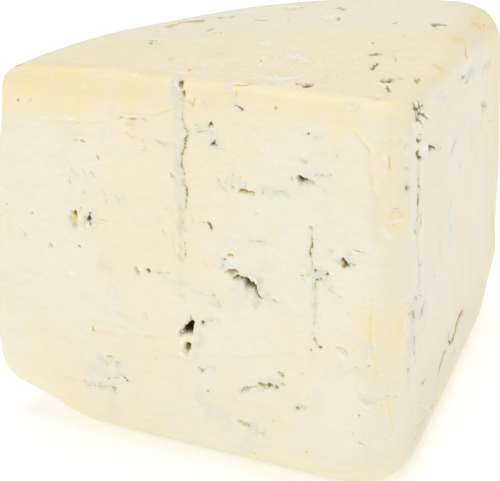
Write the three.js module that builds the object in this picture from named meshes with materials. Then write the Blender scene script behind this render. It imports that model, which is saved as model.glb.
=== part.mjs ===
// A quarter of a small blue-veined wheel of cheese, resting on one flat side of the wheel.
// Millimetres, +Z up. While it is shaped, the corner between the two knife cuts stands on the Z axis,
// the right cut runs along +X and the left cut along +Y. The finished piece is turned until the corner
// points to -Y.
import * as THREE from 'three';

// The wheel that the piece was cut from
const WHEEL_RADIUS = 100;
const WHEEL_HEIGHT = 93.7;
const RIND_FLARE = 5;
const RIND_BELLY = 0.9;
const TOP_CROWN = 2.4;
const BASE_LIFT = 4.2;
const BASE_FLAT_SHARE = 0.72;
const AXIS_X = -4.3;
const AXIS_Y = -5.2;

// The two knife cuts lean out a little towards the base
const LEFT_LEAN = Math.tan(THREE.MathUtils.degToRad(3.85));
const RIGHT_LEAN = Math.tan(THREE.MathUtils.degToRad(3.55));

// Radii of the rounded edges
const CORNER_TOP = 6.5;
const CORNER_BASE = 16;
const CUT_TOP = 5;
const CUT_BASE = 10;
const RIM_TOP = 8;
const RIM_BASE = 14;
const RIM_BAND = 20;
const CUT_RIND = 3;

// The rim's top edge is sharper beside the left cut. Towards the right cut's outer end the top rises a
// little, and its edge is worn rounder.
const LEFT_BAND = 30;
const FAR_BAND = 60;
const FAR_TOP = 15;
const FAR_RISE = 2.4;

// Unevenness of the hand-cut faces and the rind, which fades out at the base
const WAVES = 16;
const WAVE_HEIGHT = 0.08;
const WAVE_LENGTHS = [22, 60];
const BASE_CALM = 12;

// Mesh lines along a cut and up the side, closer together where the edges are round
const LINES_ALONG = 15;
const LINES_UP = 15;
const CROWDING = 0.62;

// Length of the triangles' edges beside a mark, and how fast it grows away from it
const FINE_EDGE = 1.15;
const EDGE_GROWTH = 0.9;
const LONGEST_EDGE = 14;

// The wall of a mark: how far it slopes, how uneven its outline is, and how thick the skin is that it may cut
const WALL_SLOPE = 0.65;
const RAGGED = 0.28;
const RAGGED_LENGTH = 3.1;
const SKIN = 7;

// The curing needles left tracks down the faces. Between them the curd never closed, and left pits and
// cracks. Each mark is [depth, [across, up, half width], ...], with across measured from the corner.
const LEFT_MARKS = [
  [2.2, [50.3, 95, 1.3], [49.4, 91, 1.2], [49.1, 84, 1]],
  [1.8, [49.1, 84, 1], [49.1, 66, 1], [48.9, 56, 0.8], [48.7, 44, 0.7]],
  [1.3, [18.5, 66, 0.5], [18.2, 60, 0.6], [16.9, 54, 0.8]],
  [1.3, [16.9, 54, 0.8], [16.6, 46, 0.6], [16.4, 40, 0.6], [14.9, 37.5, 0.6]],
  [3.0, [76.3, 59, 1.5], [75.3, 55.4, 0.7]],
  [4.5, [72.1, 59.4, 0.7], [72.1, 57.2, 1.1]],
  [5.0, [46.1, 38.2, 0.7], [47.1, 35.6, 1.6], [48.5, 34.4, 1]],
  [4.0, [46.7, 31.6, 1], [47.2, 29.8, 0.9]],
  [4.5, [36.4, 50.5, 1], [34, 50.6, 1.4], [31.2, 49.4, 1.4], [30, 47.4, 0.7]],
  [2.2, [37.4, 51.5, 0.7], [35.6, 51.9, 0.7]],
  [1.6, [36.7, 55.8, 0.8]],
  [2.8, [21.3, 76.2, 1], [19.4, 75.9, 0.8], [17.4, 75.8, 0.4]],
  [2.2, [34.8, 71.1, 0.8], [31.8, 71.2, 0.6]],
  [2.6, [12.2, 58.6, 0.8], [10.9, 58.3, 1.1]],
  [1.6, [42.2, 62.3, 0.5], [41.3, 61, 0.5]],
  [1.6, [56.8, 48.1, 0.8]],
  [1.5, [60.1, 48.4, 0.7], [59.5, 46.8, 0.5]],
  [1.8, [63.6, 83.5, 0.7], [60.2, 84, 0.6], [56, 83.7, 0.5]],
  [2.0, [41.6, 80.5, 0.9], [40.6, 80.9, 0.7]],
  [1.4, [44.8, 83, 0.6], [42.6, 83.6, 0.6], [42.1, 85, 0.6]],
  [1.2, [32.6, 23.4, 0.9], [30.2, 24.3, 0.9], [27.6, 25.3, 0.9], [24.6, 25.4, 0.8]],
  [1.2, [23.5, 28.9, 0.9]],
  [1.8, [32.8, 14.2, 0.9], [30.4, 14.4, 0.9]],
  [1.2, [10.4, 37.8, 1.4]],
  [1.1, [67.3, 23.5, 0.7], [65.1, 22.6, 0.7], [65.1, 20.9, 0.4], [63, 18.6, 0.7], [66.6, 17.9, 0.5]],
  [1.1, [74, 14.9, 0.6], [69.6, 14.9, 0.4], [66, 15.2, 0.7]],
  [1.2, [35.8, 89.8, 0.5], [34.9, 89.1, 0.5]],
  [1.3, [17.2, 55.6, 0.8], [14.6, 55.7, 0.7]],
  [1.0, [19.2, 21.6, 1]],
  [1.0, [43.5, 25.8, 0.7]],
  [1.2, [82.2, 49.8, 0.9]],
];
const RIGHT_MARKS = [
  [3.2, [8.6, 90.8, 1.5], [10.6, 89.4, 1.4], [11.2, 86.4, 0.7]],
  [1.8, [9.8, 86.5, 0.9], [9.8, 76, 1], [10.3, 65, 1.1], [9.8, 56, 0.8], [9.8, 46, 0.9], [7.4, 37, 0.8]],
  [1.5, [18, 79.2, 0.7], [22.4, 77.6, 0.6]],
  [1.4, [2.4, 76.3, 0.9]],
  [2.0, [40.2, 51.6, 1.2]],
  [1.2, [11.2, 42, 0.8], [14.4, 40.8, 0.7]],
  [1.8, [28.6, 17.2, 0.8], [34.6, 18.6, 1], [41, 17.4, 0.8]],
  [1.8, [41, 17.4, 0.8], [46, 16.4, 1.1], [52, 18.4, 1], [58.4, 18.8, 0.7]],
  [1.0, [63, 30, 0.7], [69, 28.8, 0.7]],
  [1.0, [13, 23, 0.8], [17, 22, 0.7]],
  [1.0, [74, 80, 1.2], [82, 79, 1]],
  [1.0, [72, 70.4, 1.2], [78, 68.8, 1]],
];

// On the top each mark is [depth, [along the right cut, along the left cut, half width], ...]
const TOP_MARKS = [
  [1.6, [27.9, 68.2, 1.6]],
  [1.4, [42, 69.6, 1], [48.8, 66.2, 1.2]],
  [2.4, [53.7, 61.2, 1.5]],
  [2.0, [67.2, 49, 1.3]],
  [1.6, [71.6, 36.8, 1.1]],
  [2.2, [60, 35.5, 1.6]],
  [3.2, [64, 9.6, 1.8]],
  [3.2, [7.4, 23.5, 1.5]],
  [2.4, [33.3, 16.5, 1.2]],
  [1.8, [28.2, 14.2, 0.9], [22.4, 13.8, 0.6]],
  [2.6, [16.6, 8.7, 1.2], [15.2, 8.6, 0.9]],
  [1.6, [12.6, 7.4, 0.7], [10, 6, 0.5]],
  [1.6, [19.1, 2.9, 1.1]],
  [1.6, [42.6, 19.8, 0.8]],
  [1.4, [41.4, 59.9, 0.9]],
  [1.4, [38.5, 57.2, 0.8]],
  [1.2, [3.4, 37.8, 0.7], [6, 33.4, 0.7]],
];

// The rind at the back has a few marks of the same kind, spread at random
const RIND_MARKS = 9;
const RIND_DEPTHS = [0.9, 2.2];
const RIND_WIDTHS = [0.7, 1.4];
const RIND_LONGEST = 6;
const SEED = 41;

const PASTE = new THREE.MeshStandardMaterial({
  name: 'cheese_paste',
  color: 0xeee4c8,
  roughness: 0.5,
  metalness: 0,
});

const { clamp, lerp, smoothstep } = THREE.MathUtils;

// A repeatable series of numbers from 0 to 1
function randomSeries(seed) {
  let state = seed;
  return () => {
    state = (state * 1664525 + 1013904223) % 2 ** 32;
    return state / 2 ** 32;
  };
}
const random = randomSeries(SEED);
const between = ([low, high]) => lerp(low, high, random());

// Joins two faces that meet in an edge with a round of the given radius
function roundJoin(a, b, radius) {
  const overA = Math.max(a + radius, 0);
  const overB = Math.max(b + radius, 0);
  return Math.min(Math.max(a + radius, b + radius), 0) + Math.hypot(overA, overB) - radius;
}

// Distances from a point to each side of the piece, below zero inside it
const offLeft = (p) => -p.x - LEFT_LEAN * (WHEEL_HEIGHT - p.z);
const offRight = (p) => -p.y - RIGHT_LEAN * (WHEEL_HEIGHT - p.z);
const fromAxis = (p) => Math.hypot(p.x - AXIS_X, p.y - AXIS_Y);
const offRind = (p) => fromAxis(p) - rindRadius(p.z);

// From 0 to 1 towards the right cut's outer end
const farEnd = (p) => smoothstep(p.x, WHEEL_RADIUS - FAR_BAND, WHEEL_RADIUS);

function offTop(p) {
  const crown = TOP_CROWN * Math.min(fromAxis(p) / WHEEL_RADIUS, 1.3) ** 2;
  return p.z - WHEEL_HEIGHT + crown - FAR_RISE * farEnd(p);
}

function rindRadius(z) {
  const down = 1 - z / WHEEL_HEIGHT;
  return WHEEL_RADIUS + RIND_FLARE * down + RIND_BELLY * 4 * down * (1 - down);
}

function offBase(p) {
  const outward = (fromAxis(p) / WHEEL_RADIUS - BASE_FLAT_SHARE) / (1 - BASE_FLAT_SHARE);
  return BASE_LIFT * clamp(outward, 0, 1.5) ** 2 - p.z;
}

// Distance from a point to the whole smooth piece
function offPiece(p) {
  const down = clamp(1 - p.z / WHEEL_HEIGHT, 0, 1);
  const corner = lerp(CORNER_TOP, CORNER_BASE, down ** 2);
  const sides = roundJoin(roundJoin(offLeft(p), offRight(p), corner), offRind(p), CUT_RIND);
  const rim = smoothstep(fromAxis(p), WHEEL_RADIUS - RIM_BAND, WHEEL_RADIUS - CUT_TOP);
  const topRim = lerp(CUT_TOP, RIM_TOP, rim * smoothstep(p.x, 0, LEFT_BAND));
  const upper = roundJoin(sides, offTop(p), lerp(topRim, FAR_TOP, farEnd(p)));
  const lower = roundJoin(sides, offBase(p), lerp(CUT_BASE, RIM_BASE, rim));
  return Math.max(upper, lower);
}

// Slow waves in random directions, for the unevenness of soft cheese
const FULL_TURN = 2 * Math.PI;
const waves = Array.from({ length: WAVES }, () => {
  const direction = new THREE.Vector3(random() - 0.5, random() - 0.5, random() - 0.5).normalize();
  return { slope: direction.multiplyScalar(FULL_TURN / between(WAVE_LENGTHS)), phase: FULL_TURN * random() };
});

function unevenness(p) {
  const sum = waves.reduce((total, wave) => total + Math.sin(wave.slope.dot(p) + wave.phase), 0);
  return WAVE_HEIGHT * smoothstep(p.z, 0, BASE_CALM) * sum;
}

const offSurface = (p) => offPiece(p) - unevenness(p);

// Moves a point onto the surface along the slope of the distance
function settle(p) {
  const step = 0.001;
  const slope = new THREE.Vector3();
  for (let pass = 0; pass < 8; pass += 1) {
    const off = offSurface(p);
    slope.set(
      offSurface(new THREE.Vector3(p.x + step, p.y, p.z)) - off,
      offSurface(new THREE.Vector3(p.x, p.y + step, p.z)) - off,
      offSurface(new THREE.Vector3(p.x, p.y, p.z + step)) - off,
    ).divideScalar(step);
    p.addScaledVector(slope, -off / Math.max(slope.lengthSq(), 0.25));
  }
  return p;
}

// Fractions from 0 to 1 that crowd together at both ends
function stations(count) {
  const crowd = (t) => t - (CROWDING * Math.sin(FULL_TURN * t)) / FULL_TURN;
  return Array.from({ length: count + 1 }, (_, i) => crowd(i / count));
}

// The sharp outline at one height: from the corner along the right cut, round the rind and back again
function outline(z) {
  const drop = WHEEL_HEIGHT - z;
  const left = -LEFT_LEAN * drop;
  const right = -RIGHT_LEAN * drop;
  const radius = rindRadius(z);
  const start = Math.asin((right - AXIS_Y) / radius);
  const end = Math.acos((left - AXIS_X) / radius);
  const rightEnd = AXIS_X + radius * Math.cos(start);
  const leftEnd = AXIS_Y + radius * Math.sin(end);
  const cut = stations(LINES_ALONG).slice(0, -1);
  const rind = stations(2 * LINES_ALONG).slice(0, -1);
  return [
    ...cut.map((t) => new THREE.Vector3(lerp(left, rightEnd, t), right, z)),
    ...rind.map((t) => {
      const angle = lerp(start, end, t);
      return new THREE.Vector3(AXIS_X + radius * Math.cos(angle), AXIS_Y + radius * Math.sin(angle), z);
    }),
    ...cut.map((t) => new THREE.Vector3(left, lerp(leftEnd, right, t), z)),
  ];
}

// A closed mesh of the smooth piece: rings up the side, and a four-sided patch over the top and the base
function basicMesh() {
  const around = 4 * LINES_ALONG;
  const rings = stations(LINES_UP).map((t) => outline(t * WHEEL_HEIGHT));
  const points = rings.flat();
  const faces = [];
  for (let k = 0; k < LINES_UP; k += 1) {
    for (let n = 0; n < around; n += 1) {
      const a = k * around + n;
      const b = k * around + ((n + 1) % around);
      faces.push([a, b, b + around], [a, b + around, a + around]);
    }
  }
  addPatch(points, faces, LINES_UP * around, true);
  addPatch(points, faces, 0, false);
  return { points: points.map(settle), faces };
}

// Fills a ring, which starts at the given point number, with a patch of rows from cut to cut
function addPatch(points, faces, first, facesUp) {
  const n = LINES_ALONG;
  const share = stations(n);
  const ring = points.slice(first, first + 4 * n);
  const onRing = (i, j) => {
    if (j === 0) return i;
    if (i === n) return n + j;
    if (j === n) return 3 * n - i;
    return i === 0 ? 4 * n - j : -1;
  };
  const number = new Map();
  for (let i = 0; i <= n; i += 1) {
    for (let j = 0; j <= n; j += 1) {
      const edge = onRing(i, j);
      const key = i * (n + 1) + j;
      number.set(key, edge >= 0 ? first + edge : points.length);
      if (edge < 0) points.push(blend(ring, n, i, j, share[i], share[j]));
    }
  }
  for (let i = 0; i < n; i += 1) {
    for (let j = 0; j < n; j += 1) {
      const [a, d, b, c] = [i, i + 1].flatMap((p) => [j, j + 1].map((q) => number.get(p * (n + 1) + q)));
      faces.push(...(facesUp ? [[a, b, c], [a, c, d]] : [[a, c, b], [a, d, c]]));
    }
  }
}

// A point inside a ring, blended from the four sides of the ring
function blend(ring, n, i, j, u, v) {
  const point = new THREE.Vector3();
  const add = (corner, weight) => point.addScaledVector(ring[corner % ring.length], weight);
  add(i, 1 - v);
  add(3 * n - i, v);
  add(4 * n - j, 1 - u);
  add(n + j, u);
  add(0, -(1 - u) * (1 - v));
  add(n, -u * (1 - v));
  add(2 * n, -u * v);
  add(3 * n, -(1 - u) * v);
  return point;
}

// The faces that carry marks: where a point lies on each, how deep under it, and which way a mark is sunk
const X_AXIS = new THREE.Vector3(1, 0, 0);
const Y_AXIS = new THREE.Vector3(0, 1, 0);
const Z_AXIS = new THREE.Vector3(0, 0, 1);
const CARRIERS = {
  left: { marks: LEFT_MARKS, place: (p) => [p.y, p.z], off: offLeft, inward: () => X_AXIS.clone() },
  right: { marks: RIGHT_MARKS, place: (p) => [p.x, p.z], off: offRight, inward: () => Y_AXIS.clone() },
  top: { marks: TOP_MARKS, place: (p) => [p.x, p.y], off: offTop, inward: () => Z_AXIS.clone().negate() },
  rind: {
    marks: rindMarks(),
    place: (p) => [WHEEL_RADIUS * Math.atan2(p.y - AXIS_Y, p.x - AXIS_X), p.z],
    off: offRind,
    inward: (p) => new THREE.Vector3(AXIS_X - p.x, AXIS_Y - p.y, 0).normalize(),
  },
};

function rindMarks() {
  const arc = (WHEEL_RADIUS * Math.PI) / 2;
  return Array.from({ length: RIND_MARKS }, (_, i) => {
    const across = ((i + 0.3 + 0.5 * random()) * arc) / RIND_MARKS;
    const up = between([0.2 * WHEEL_HEIGHT, 0.85 * WHEEL_HEIGHT]);
    const width = between(RIND_WIDTHS);
    const end = [across + RIND_LONGEST * (random() - 0.5), up + RIND_LONGEST * (random() - 0.5), 0.7 * width];
    return [between(RIND_DEPTHS), [across, up, width], end];
  });
}

// Distance on a face from a place to the outline of a mark, below zero inside the mark
function offMark(u, v, path) {
  let nearest = Infinity;
  for (let i = 0; i < path.length; i += 1) {
    const [u0, v0, w0] = path[i];
    const [u1, v1, w1] = path[Math.min(i + 1, path.length - 1)];
    const lengthSq = (u1 - u0) ** 2 + (v1 - v0) ** 2;
    const t = lengthSq > 0 ? clamp(((u - u0) * (u1 - u0) + (v - v0) * (v1 - v0)) / lengthSq, 0, 1) : 0;
    nearest = Math.min(nearest, Math.hypot(u - lerp(u0, u1, t), v - lerp(v0, v1, t)) - lerp(w0, w1, t));
  }
  const turn = FULL_TURN / RAGGED_LENGTH;
  return nearest + RAGGED * Math.sin(turn * u + 1.3 * Math.sin(turn * v)) * Math.cos(turn * v);
}

// Calls back for each mark that is near a point, with the distance to its outline
function eachMark(p, callback) {
  Object.values(CARRIERS).forEach((carrier) => {
    const under = -carrier.off(p);
    if (under > SKIN) return;
    const [u, v] = carrier.place(p);
    const hold = 1 - smoothstep(under, SKIN / 2, SKIN);
    carrier.marks.forEach(([depth, ...path]) => callback(offMark(u, v, path), depth * hold, carrier));
  });
}

function edgeWanted(p) {
  let wanted = LONGEST_EDGE;
  eachMark(p, (off, depth) => {
    if (depth > 0.1) wanted = Math.min(wanted, FINE_EDGE + EDGE_GROWTH * Math.max(off - WALL_SLOPE, 0));
  });
  return wanted;
}

// Splits edges near the marks until they are short enough, each for both of its triangles
function refine({ points, faces }) {
  const key = (a, b) => (a < b ? a * 1e6 + b : b * 1e6 + a);
  const tooLong = (a, b) => {
    const middle = points[a].clone().lerp(points[b], 0.5);
    return points[a].distanceTo(points[b]) > 1.5 * edgeWanted(middle);
  };
  const seen = new Map();
  for (;;) {
    const split = new Map();
    const sides = ([a, b, c]) => [[a, b], [b, c], [c, a]];
    faces.forEach((face) => sides(face).forEach(([a, b]) => {
      const edge = key(a, b);
      if (!seen.has(edge)) seen.set(edge, tooLong(a, b));
      if (seen.get(edge)) split.set(edge, -1);
    }));
    if (split.size === 0) return { points, faces };
    markLongest(points, faces, sides, key, split);
    split.forEach((_, edge) => {
      const a = Math.floor(edge / 1e6);
      const b = edge % 1e6;
      split.set(edge, points.push(settle(points[a].clone().lerp(points[b], 0.5))) - 1);
    });
    const middles = (face) => sides(face).map(([a, b]) => split.get(key(a, b)) ?? -1);
    faces = faces.flatMap((face) => splitFace(points, face, middles(face)));
  }
}

// A triangle with a split side has its longest side split too, so that no triangle becomes a sliver
function markLongest(points, faces, sides, key, split) {
  let grew = true;
  while (grew) {
    grew = false;
    faces.forEach((face) => {
      const edges = sides(face);
      if (!edges.some(([a, b]) => split.has(key(a, b)))) return;
      const lengths = edges.map(([a, b]) => points[a].distanceTo(points[b]));
      const [a, b] = edges[lengths.indexOf(Math.max(...lengths))];
      if (split.has(key(a, b))) return;
      split.set(key(a, b), -1);
      grew = true;
    });
  }
}

// Cuts a triangle through its longest side, then through the others that have a middle point
function splitFace(points, face, middles) {
  if (middles.every((m) => m < 0)) return [face];
  const lengths = [0, 1, 2].map((i) => points[face[i]].distanceTo(points[face[(i + 1) % 3]]));
  const first = lengths.indexOf(Math.max(...lengths));
  const [a, b, c] = [0, 1, 2].map((i) => face[(first + i) % 3]);
  const [ab, bc, ca] = [0, 1, 2].map((i) => middles[(first + i) % 3]);
  const half = (tip, from, to, middle) => {
    return middle < 0 ? [[tip, from, to]] : [[tip, from, middle], [tip, middle, to]];
  };
  return [...half(ab, b, c, bc), ...half(ab, c, a, ca)];
}

// Sinks the marks into the smooth piece
function sinkMarks(points) {
  return points.map((p) => {
    const sunk = p.clone();
    const deepest = new Map();
    eachMark(p, (off, depth, carrier) => {
      const inside = 1 - smoothstep(off, -WALL_SLOPE, WALL_SLOPE);
      deepest.set(carrier, Math.max(deepest.get(carrier) ?? 0, depth * inside));
    });
    deepest.forEach((depth, carrier) => sunk.addScaledVector(carrier.inward(p), depth));
    return sunk;
  });
}

function cheeseGeometry() {
  const { points, faces } = refine(basicMesh());
  const geometry = new THREE.BufferGeometry().setFromPoints(sinkMarks(points));
  geometry.setIndex(faces.flat());
  geometry.rotateZ(Math.PI / 4);
  geometry.computeVertexNormals();
  return geometry;
}

// The origin is below the middle of the piece, at the surface that it stands on
function cheese() {
  const mesh = new THREE.Mesh(cheeseGeometry(), PASTE);
  mesh.name = 'cheese_wedge';
  const box = new THREE.Box3().setFromObject(mesh);
  const middle = box.getCenter(new THREE.Vector3());
  mesh.position.set(-middle.x, -middle.y, -box.min.z);
  return mesh;
}

const part = new THREE.Group();
part.add(cheese());

export default part;
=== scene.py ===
"""A quarter wedge of a small blue-veined cheese wheel on a pale floor."""
import itertools
import math

import bpy
import numpy as np
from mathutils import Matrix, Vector


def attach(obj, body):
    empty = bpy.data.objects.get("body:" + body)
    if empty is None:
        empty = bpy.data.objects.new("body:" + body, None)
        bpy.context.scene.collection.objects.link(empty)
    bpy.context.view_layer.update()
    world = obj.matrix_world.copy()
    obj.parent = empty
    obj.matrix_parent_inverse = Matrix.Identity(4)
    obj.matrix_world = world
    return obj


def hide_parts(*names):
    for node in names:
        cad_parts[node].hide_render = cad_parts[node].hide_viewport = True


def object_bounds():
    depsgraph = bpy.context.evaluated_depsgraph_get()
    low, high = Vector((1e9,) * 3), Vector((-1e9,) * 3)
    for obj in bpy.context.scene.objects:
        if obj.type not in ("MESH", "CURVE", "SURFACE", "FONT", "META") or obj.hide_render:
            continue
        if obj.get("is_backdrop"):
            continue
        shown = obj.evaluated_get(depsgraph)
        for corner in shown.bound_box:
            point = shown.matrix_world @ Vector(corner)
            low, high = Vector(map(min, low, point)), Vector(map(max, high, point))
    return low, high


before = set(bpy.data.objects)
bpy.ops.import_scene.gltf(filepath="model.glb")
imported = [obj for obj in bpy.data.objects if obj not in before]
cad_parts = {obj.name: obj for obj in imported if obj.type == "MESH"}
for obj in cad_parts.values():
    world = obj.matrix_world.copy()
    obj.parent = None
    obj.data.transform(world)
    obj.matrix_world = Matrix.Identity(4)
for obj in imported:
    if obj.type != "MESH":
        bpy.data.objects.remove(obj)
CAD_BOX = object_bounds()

NODE = "cheese_wedge"
MILLIMETRE = 0.001

# The wheel that the piece was cut from, in millimetres. While it is shaped, the corner between the two cuts stands on
# the Z axis, the right cut runs along +X and the left cut along +Y.
WHEEL_RADIUS = 100
WHEEL_HEIGHT = 93.7
RIND_FLARE = 5
RIND_BELLY = 0.9
TOP_CROWN = 2.4
BASE_LIFT = 4.2
BASE_FLAT_SHARE = 0.72
AXIS = np.array([-4.3, -5.2])
LEFT_LEAN = math.tan(math.radians(3.85))
RIGHT_LEAN = math.tan(math.radians(3.55))
CORNER_PLACE = (-0.02, -47.88)
CORNER_TURN = math.radians(45)

# Radii of the rounded edges
CORNER_TOP = 6.5
CORNER_BASE = 16
CUT_TOP = 5
CUT_BASE = 10
RIM_TOP = 8
RIM_BASE = 14
RIM_BAND = 20
CUT_RIND = 3

# The rim's top edge is sharper beside the left cut. Towards the right cut's outer end the top rises a little, and its
# edge is worn rounder.
LEFT_BAND = 30
FAR_BAND = 60
FAR_TOP = 15
FAR_RISE = 2.4

# Slow waves of the soft paste
WAVES = 16
WAVE_HEIGHT = 0.08
WAVE_LENGTHS = (22, 60)
BASE_CALM = 12
SEED = 41

# Where the photo was taken from, in degrees, and in millimetres from the foot of the corner
VIEW_TURN = math.radians(22.9)
VIEW_DOWN = math.radians(26.56)
VIEW_BACK = 222.8
VIEW_ASIDE = -30.65
VIEW_HEIGHT = 176.5
FOCAL_PIXELS = 1200
PHOTO_SIZE = (500, 481)
SENSOR = 36

# Mesh lines along a cut and up the side, and the edge lengths beside the marks
LINES_ALONG = 54
LINES_UP = 50
CROWDING = 0.5
FINEST_EDGE = 0.2
EDGE_GROWTH = 0.5
LONGEST_EDGE = 4
SKIN = 8
REACH = 4


def blend(low, high, share):
    return low + (high - low) * share


def ramp(low, high, values):
    """Rises smoothly from 0 to 1 between two values"""
    share = np.clip((values - low) / (high - low), 0, 1)
    return share * share * (3 - 2 * share)


def repeatable(seed):
    """A repeatable series of numbers from 0 to 1"""
    state = seed
    while True:
        state = (state * 1664525 + 1013904223) % 2 ** 32
        yield state / 2 ** 32


def grain(points, size, seed=0):
    """Smooth noise from -1 to 1 at points, with features of about the given size"""
    cells = points / size + 31.7 * (seed + 1)
    low = np.floor(cells).astype(np.int64)
    share = cells - low
    share = share * share * (3 - 2 * share)
    primes = np.array([73856093, 19349663, 83492791])[: points.shape[1]]
    total = np.zeros(len(points))
    for corner in itertools.product((0, 1), repeat=points.shape[1]):
        key = ((low + corner) * primes).sum(1) % 2 ** 31
        key = (key ^ (key >> 13)) * 1274126177 % 2 ** 31
        key = (key ^ (key >> 16)) % 65536
        weight = np.where(corner, share, 1 - share).prod(1)
        total += weight * (key / 32767.5 - 1)
    return total


def round_join(a, b, radius):
    over = np.hypot(np.maximum(a + radius, 0), np.maximum(b + radius, 0))
    return np.minimum(np.maximum(a + radius, b + radius), 0) + over - radius


def from_axis(p):
    return np.hypot(p[:, 0] - AXIS[0], p[:, 1] - AXIS[1])


def rind_radius(z):
    down = 1 - z / WHEEL_HEIGHT
    return WHEEL_RADIUS + RIND_FLARE * down + RIND_BELLY * 4 * down * (1 - down)


def off_left(p):
    return -p[:, 0] - LEFT_LEAN * (WHEEL_HEIGHT - p[:, 2])


def off_right(p):
    return -p[:, 1] - RIGHT_LEAN * (WHEEL_HEIGHT - p[:, 2])


def crown_height(p):
    return WHEEL_HEIGHT - TOP_CROWN * np.minimum(from_axis(p) / WHEEL_RADIUS, 1.3) ** 2


def far_end(p):
    """From 0 to 1 towards the right cut's outer end"""
    return ramp(WHEEL_RADIUS - FAR_BAND, WHEEL_RADIUS, p[:, 0])


def off_top(p):
    return p[:, 2] - crown_height(p) - FAR_RISE * far_end(p)


def off_rind(p):
    return from_axis(p) - rind_radius(p[:, 2])


def off_base(p):
    outward = (from_axis(p) / WHEEL_RADIUS - BASE_FLAT_SHARE) / (1 - BASE_FLAT_SHARE)
    return BASE_LIFT * np.clip(outward, 0, 1.5) ** 2 - p[:, 2]


def off_piece(p):
    """Distance from points to the smooth piece, below zero inside it"""
    down = np.clip(1 - p[:, 2] / WHEEL_HEIGHT, 0, 1)
    corner = blend(CORNER_TOP, CORNER_BASE, down ** 2)
    sides = round_join(round_join(off_left(p), off_right(p), corner), off_rind(p), CUT_RIND)
    rim = ramp(WHEEL_RADIUS - RIM_BAND, WHEEL_RADIUS - CUT_TOP, from_axis(p))
    top_rim = blend(CUT_TOP, RIM_TOP, rim * ramp(0, LEFT_BAND, p[:, 0]))
    upper = round_join(sides, off_top(p), blend(top_rim, FAR_TOP, far_end(p)))
    lower = round_join(sides, off_base(p), blend(CUT_BASE, RIM_BASE, rim))
    return np.maximum(upper, lower)


def slow_waves():
    """The slopes and phases of waves in random directions"""
    numbers = repeatable(SEED)
    slopes, phases = [], []
    for _ in range(WAVES):
        direction = np.array([next(numbers) - 0.5 for _ in range(3)])
        length = blend(*WAVE_LENGTHS, next(numbers))
        slopes.append(direction / np.linalg.norm(direction) * math.tau / length)
        phases.append(math.tau * next(numbers))
    return np.array(slopes), np.array(phases)


WAVE_SLOPES, WAVE_PHASES = slow_waves()


def off_surface(p):
    swell = np.sin(p @ WAVE_SLOPES.T + WAVE_PHASES).sum(1)
    return off_piece(p) - WAVE_HEIGHT * ramp(0, BASE_CALM, p[:, 2]) * swell


def slope_at(p, off):
    step = 0.001
    return np.stack([(off_surface(p + step * axis) - off) / step for axis in np.eye(3)], 1)


def settle(p):
    """Moves points onto the surface along the slope of the distance"""
    for _ in range(7):
        off = off_surface(p)
        slope = slope_at(p, off)
        p = p - slope * (off / np.maximum((slope ** 2).sum(1), 0.25))[:, None]
    return p


def stations(count):
    """Shares from 0 to 1 that crowd together at both ends"""
    share = np.arange(count + 1) / count
    return share - CROWDING * np.sin(math.tau * share) / math.tau


def outline(z):
    """The sharp outline at one height: along the right cut, round the rind and back along the left cut"""
    left = -LEFT_LEAN * (WHEEL_HEIGHT - z)
    right = -RIGHT_LEAN * (WHEEL_HEIGHT - z)
    radius = rind_radius(z)
    start = math.asin((right - AXIS[1]) / radius)
    end = math.acos((left - AXIS[0]) / radius)
    cut = stations(LINES_ALONG)[:-1]
    turn = blend(start, end, stations(2 * LINES_ALONG)[:-1])
    right_cut = np.stack([blend(left, AXIS[0] + radius * math.cos(start), cut), 0 * cut + right], 1)
    rind = AXIS + radius * np.stack([np.cos(turn), np.sin(turn)], 1)
    left_cut = np.stack([0 * cut + left, blend(AXIS[1] + radius * math.sin(end), right, cut)], 1)
    flat = np.concatenate([right_cut, rind, left_cut])
    return np.column_stack([flat, np.full(len(flat), z)])


def quads(a, b, c, d):
    """Triangles of four-sided faces whose corners are given as four arrays"""
    corners = [np.ravel(x) for x in (a, b, c, d)]
    return np.concatenate([np.stack([corners[i] for i in trio], 1) for trio in ((0, 1, 2), (0, 2, 3))])


def patch(ring, first, next_free, faces_up):
    """Fills a ring, whose first point has the given number, with rows of points from cut to cut"""
    n = LINES_ALONG
    numbers = np.full((n + 1, n + 1), -1)
    i = np.arange(n + 1)
    numbers[i, 0] = first + i
    numbers[n, i] = first + n + i
    numbers[i, n] = first + 3 * n - i
    numbers[0, 1:] = first + 4 * n - i[1:]
    inside_u, inside_v = np.meshgrid(i[1:-1], i[1:-1], indexing="ij")
    numbers[1:-1, 1:-1] = next_free + np.arange((n - 1) ** 2).reshape(n - 1, n - 1)
    u = stations(n)[inside_u][..., None]
    v = stations(n)[inside_v][..., None]
    near, far = ring[inside_u], ring[3 * n - inside_u]
    back, front = ring[(4 * n - inside_v) % (4 * n)], ring[n + inside_v]
    corners = (1 - u) * (1 - v) * ring[0] + u * (1 - v) * ring[n] + u * v * ring[2 * n] + (1 - u) * v * ring[3 * n]
    inner = (1 - v) * near + v * far + (1 - u) * back + u * front - corners
    a, b, c, d = numbers[:-1, :-1], numbers[1:, :-1], numbers[1:, 1:], numbers[:-1, 1:]
    return inner.reshape(-1, 3), quads(a, b, c, d) if faces_up else quads(a, d, c, b)


def smooth_piece():
    """A closed mesh of the smooth piece: rings up the side, and a patch over the top and the base"""
    around = 4 * LINES_ALONG
    rings = [outline(share * WHEEL_HEIGHT) for share in stations(LINES_UP)]
    low = np.arange(LINES_UP * around).reshape(LINES_UP, around)
    faces = [quads(low, np.roll(low, -1, 1), np.roll(low, -1, 1) + around, low + around)]
    points = [np.concatenate(rings)]
    count = len(points[0])
    for ring, first, faces_up in ((rings[-1], LINES_UP * around, True), (rings[0], 0, False)):
        inner, more = patch(ring, first, count, faces_up)
        points.append(inner)
        faces.append(more)
        count += len(inner)
    return settle(np.concatenate(points)), np.concatenate(faces)


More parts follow.
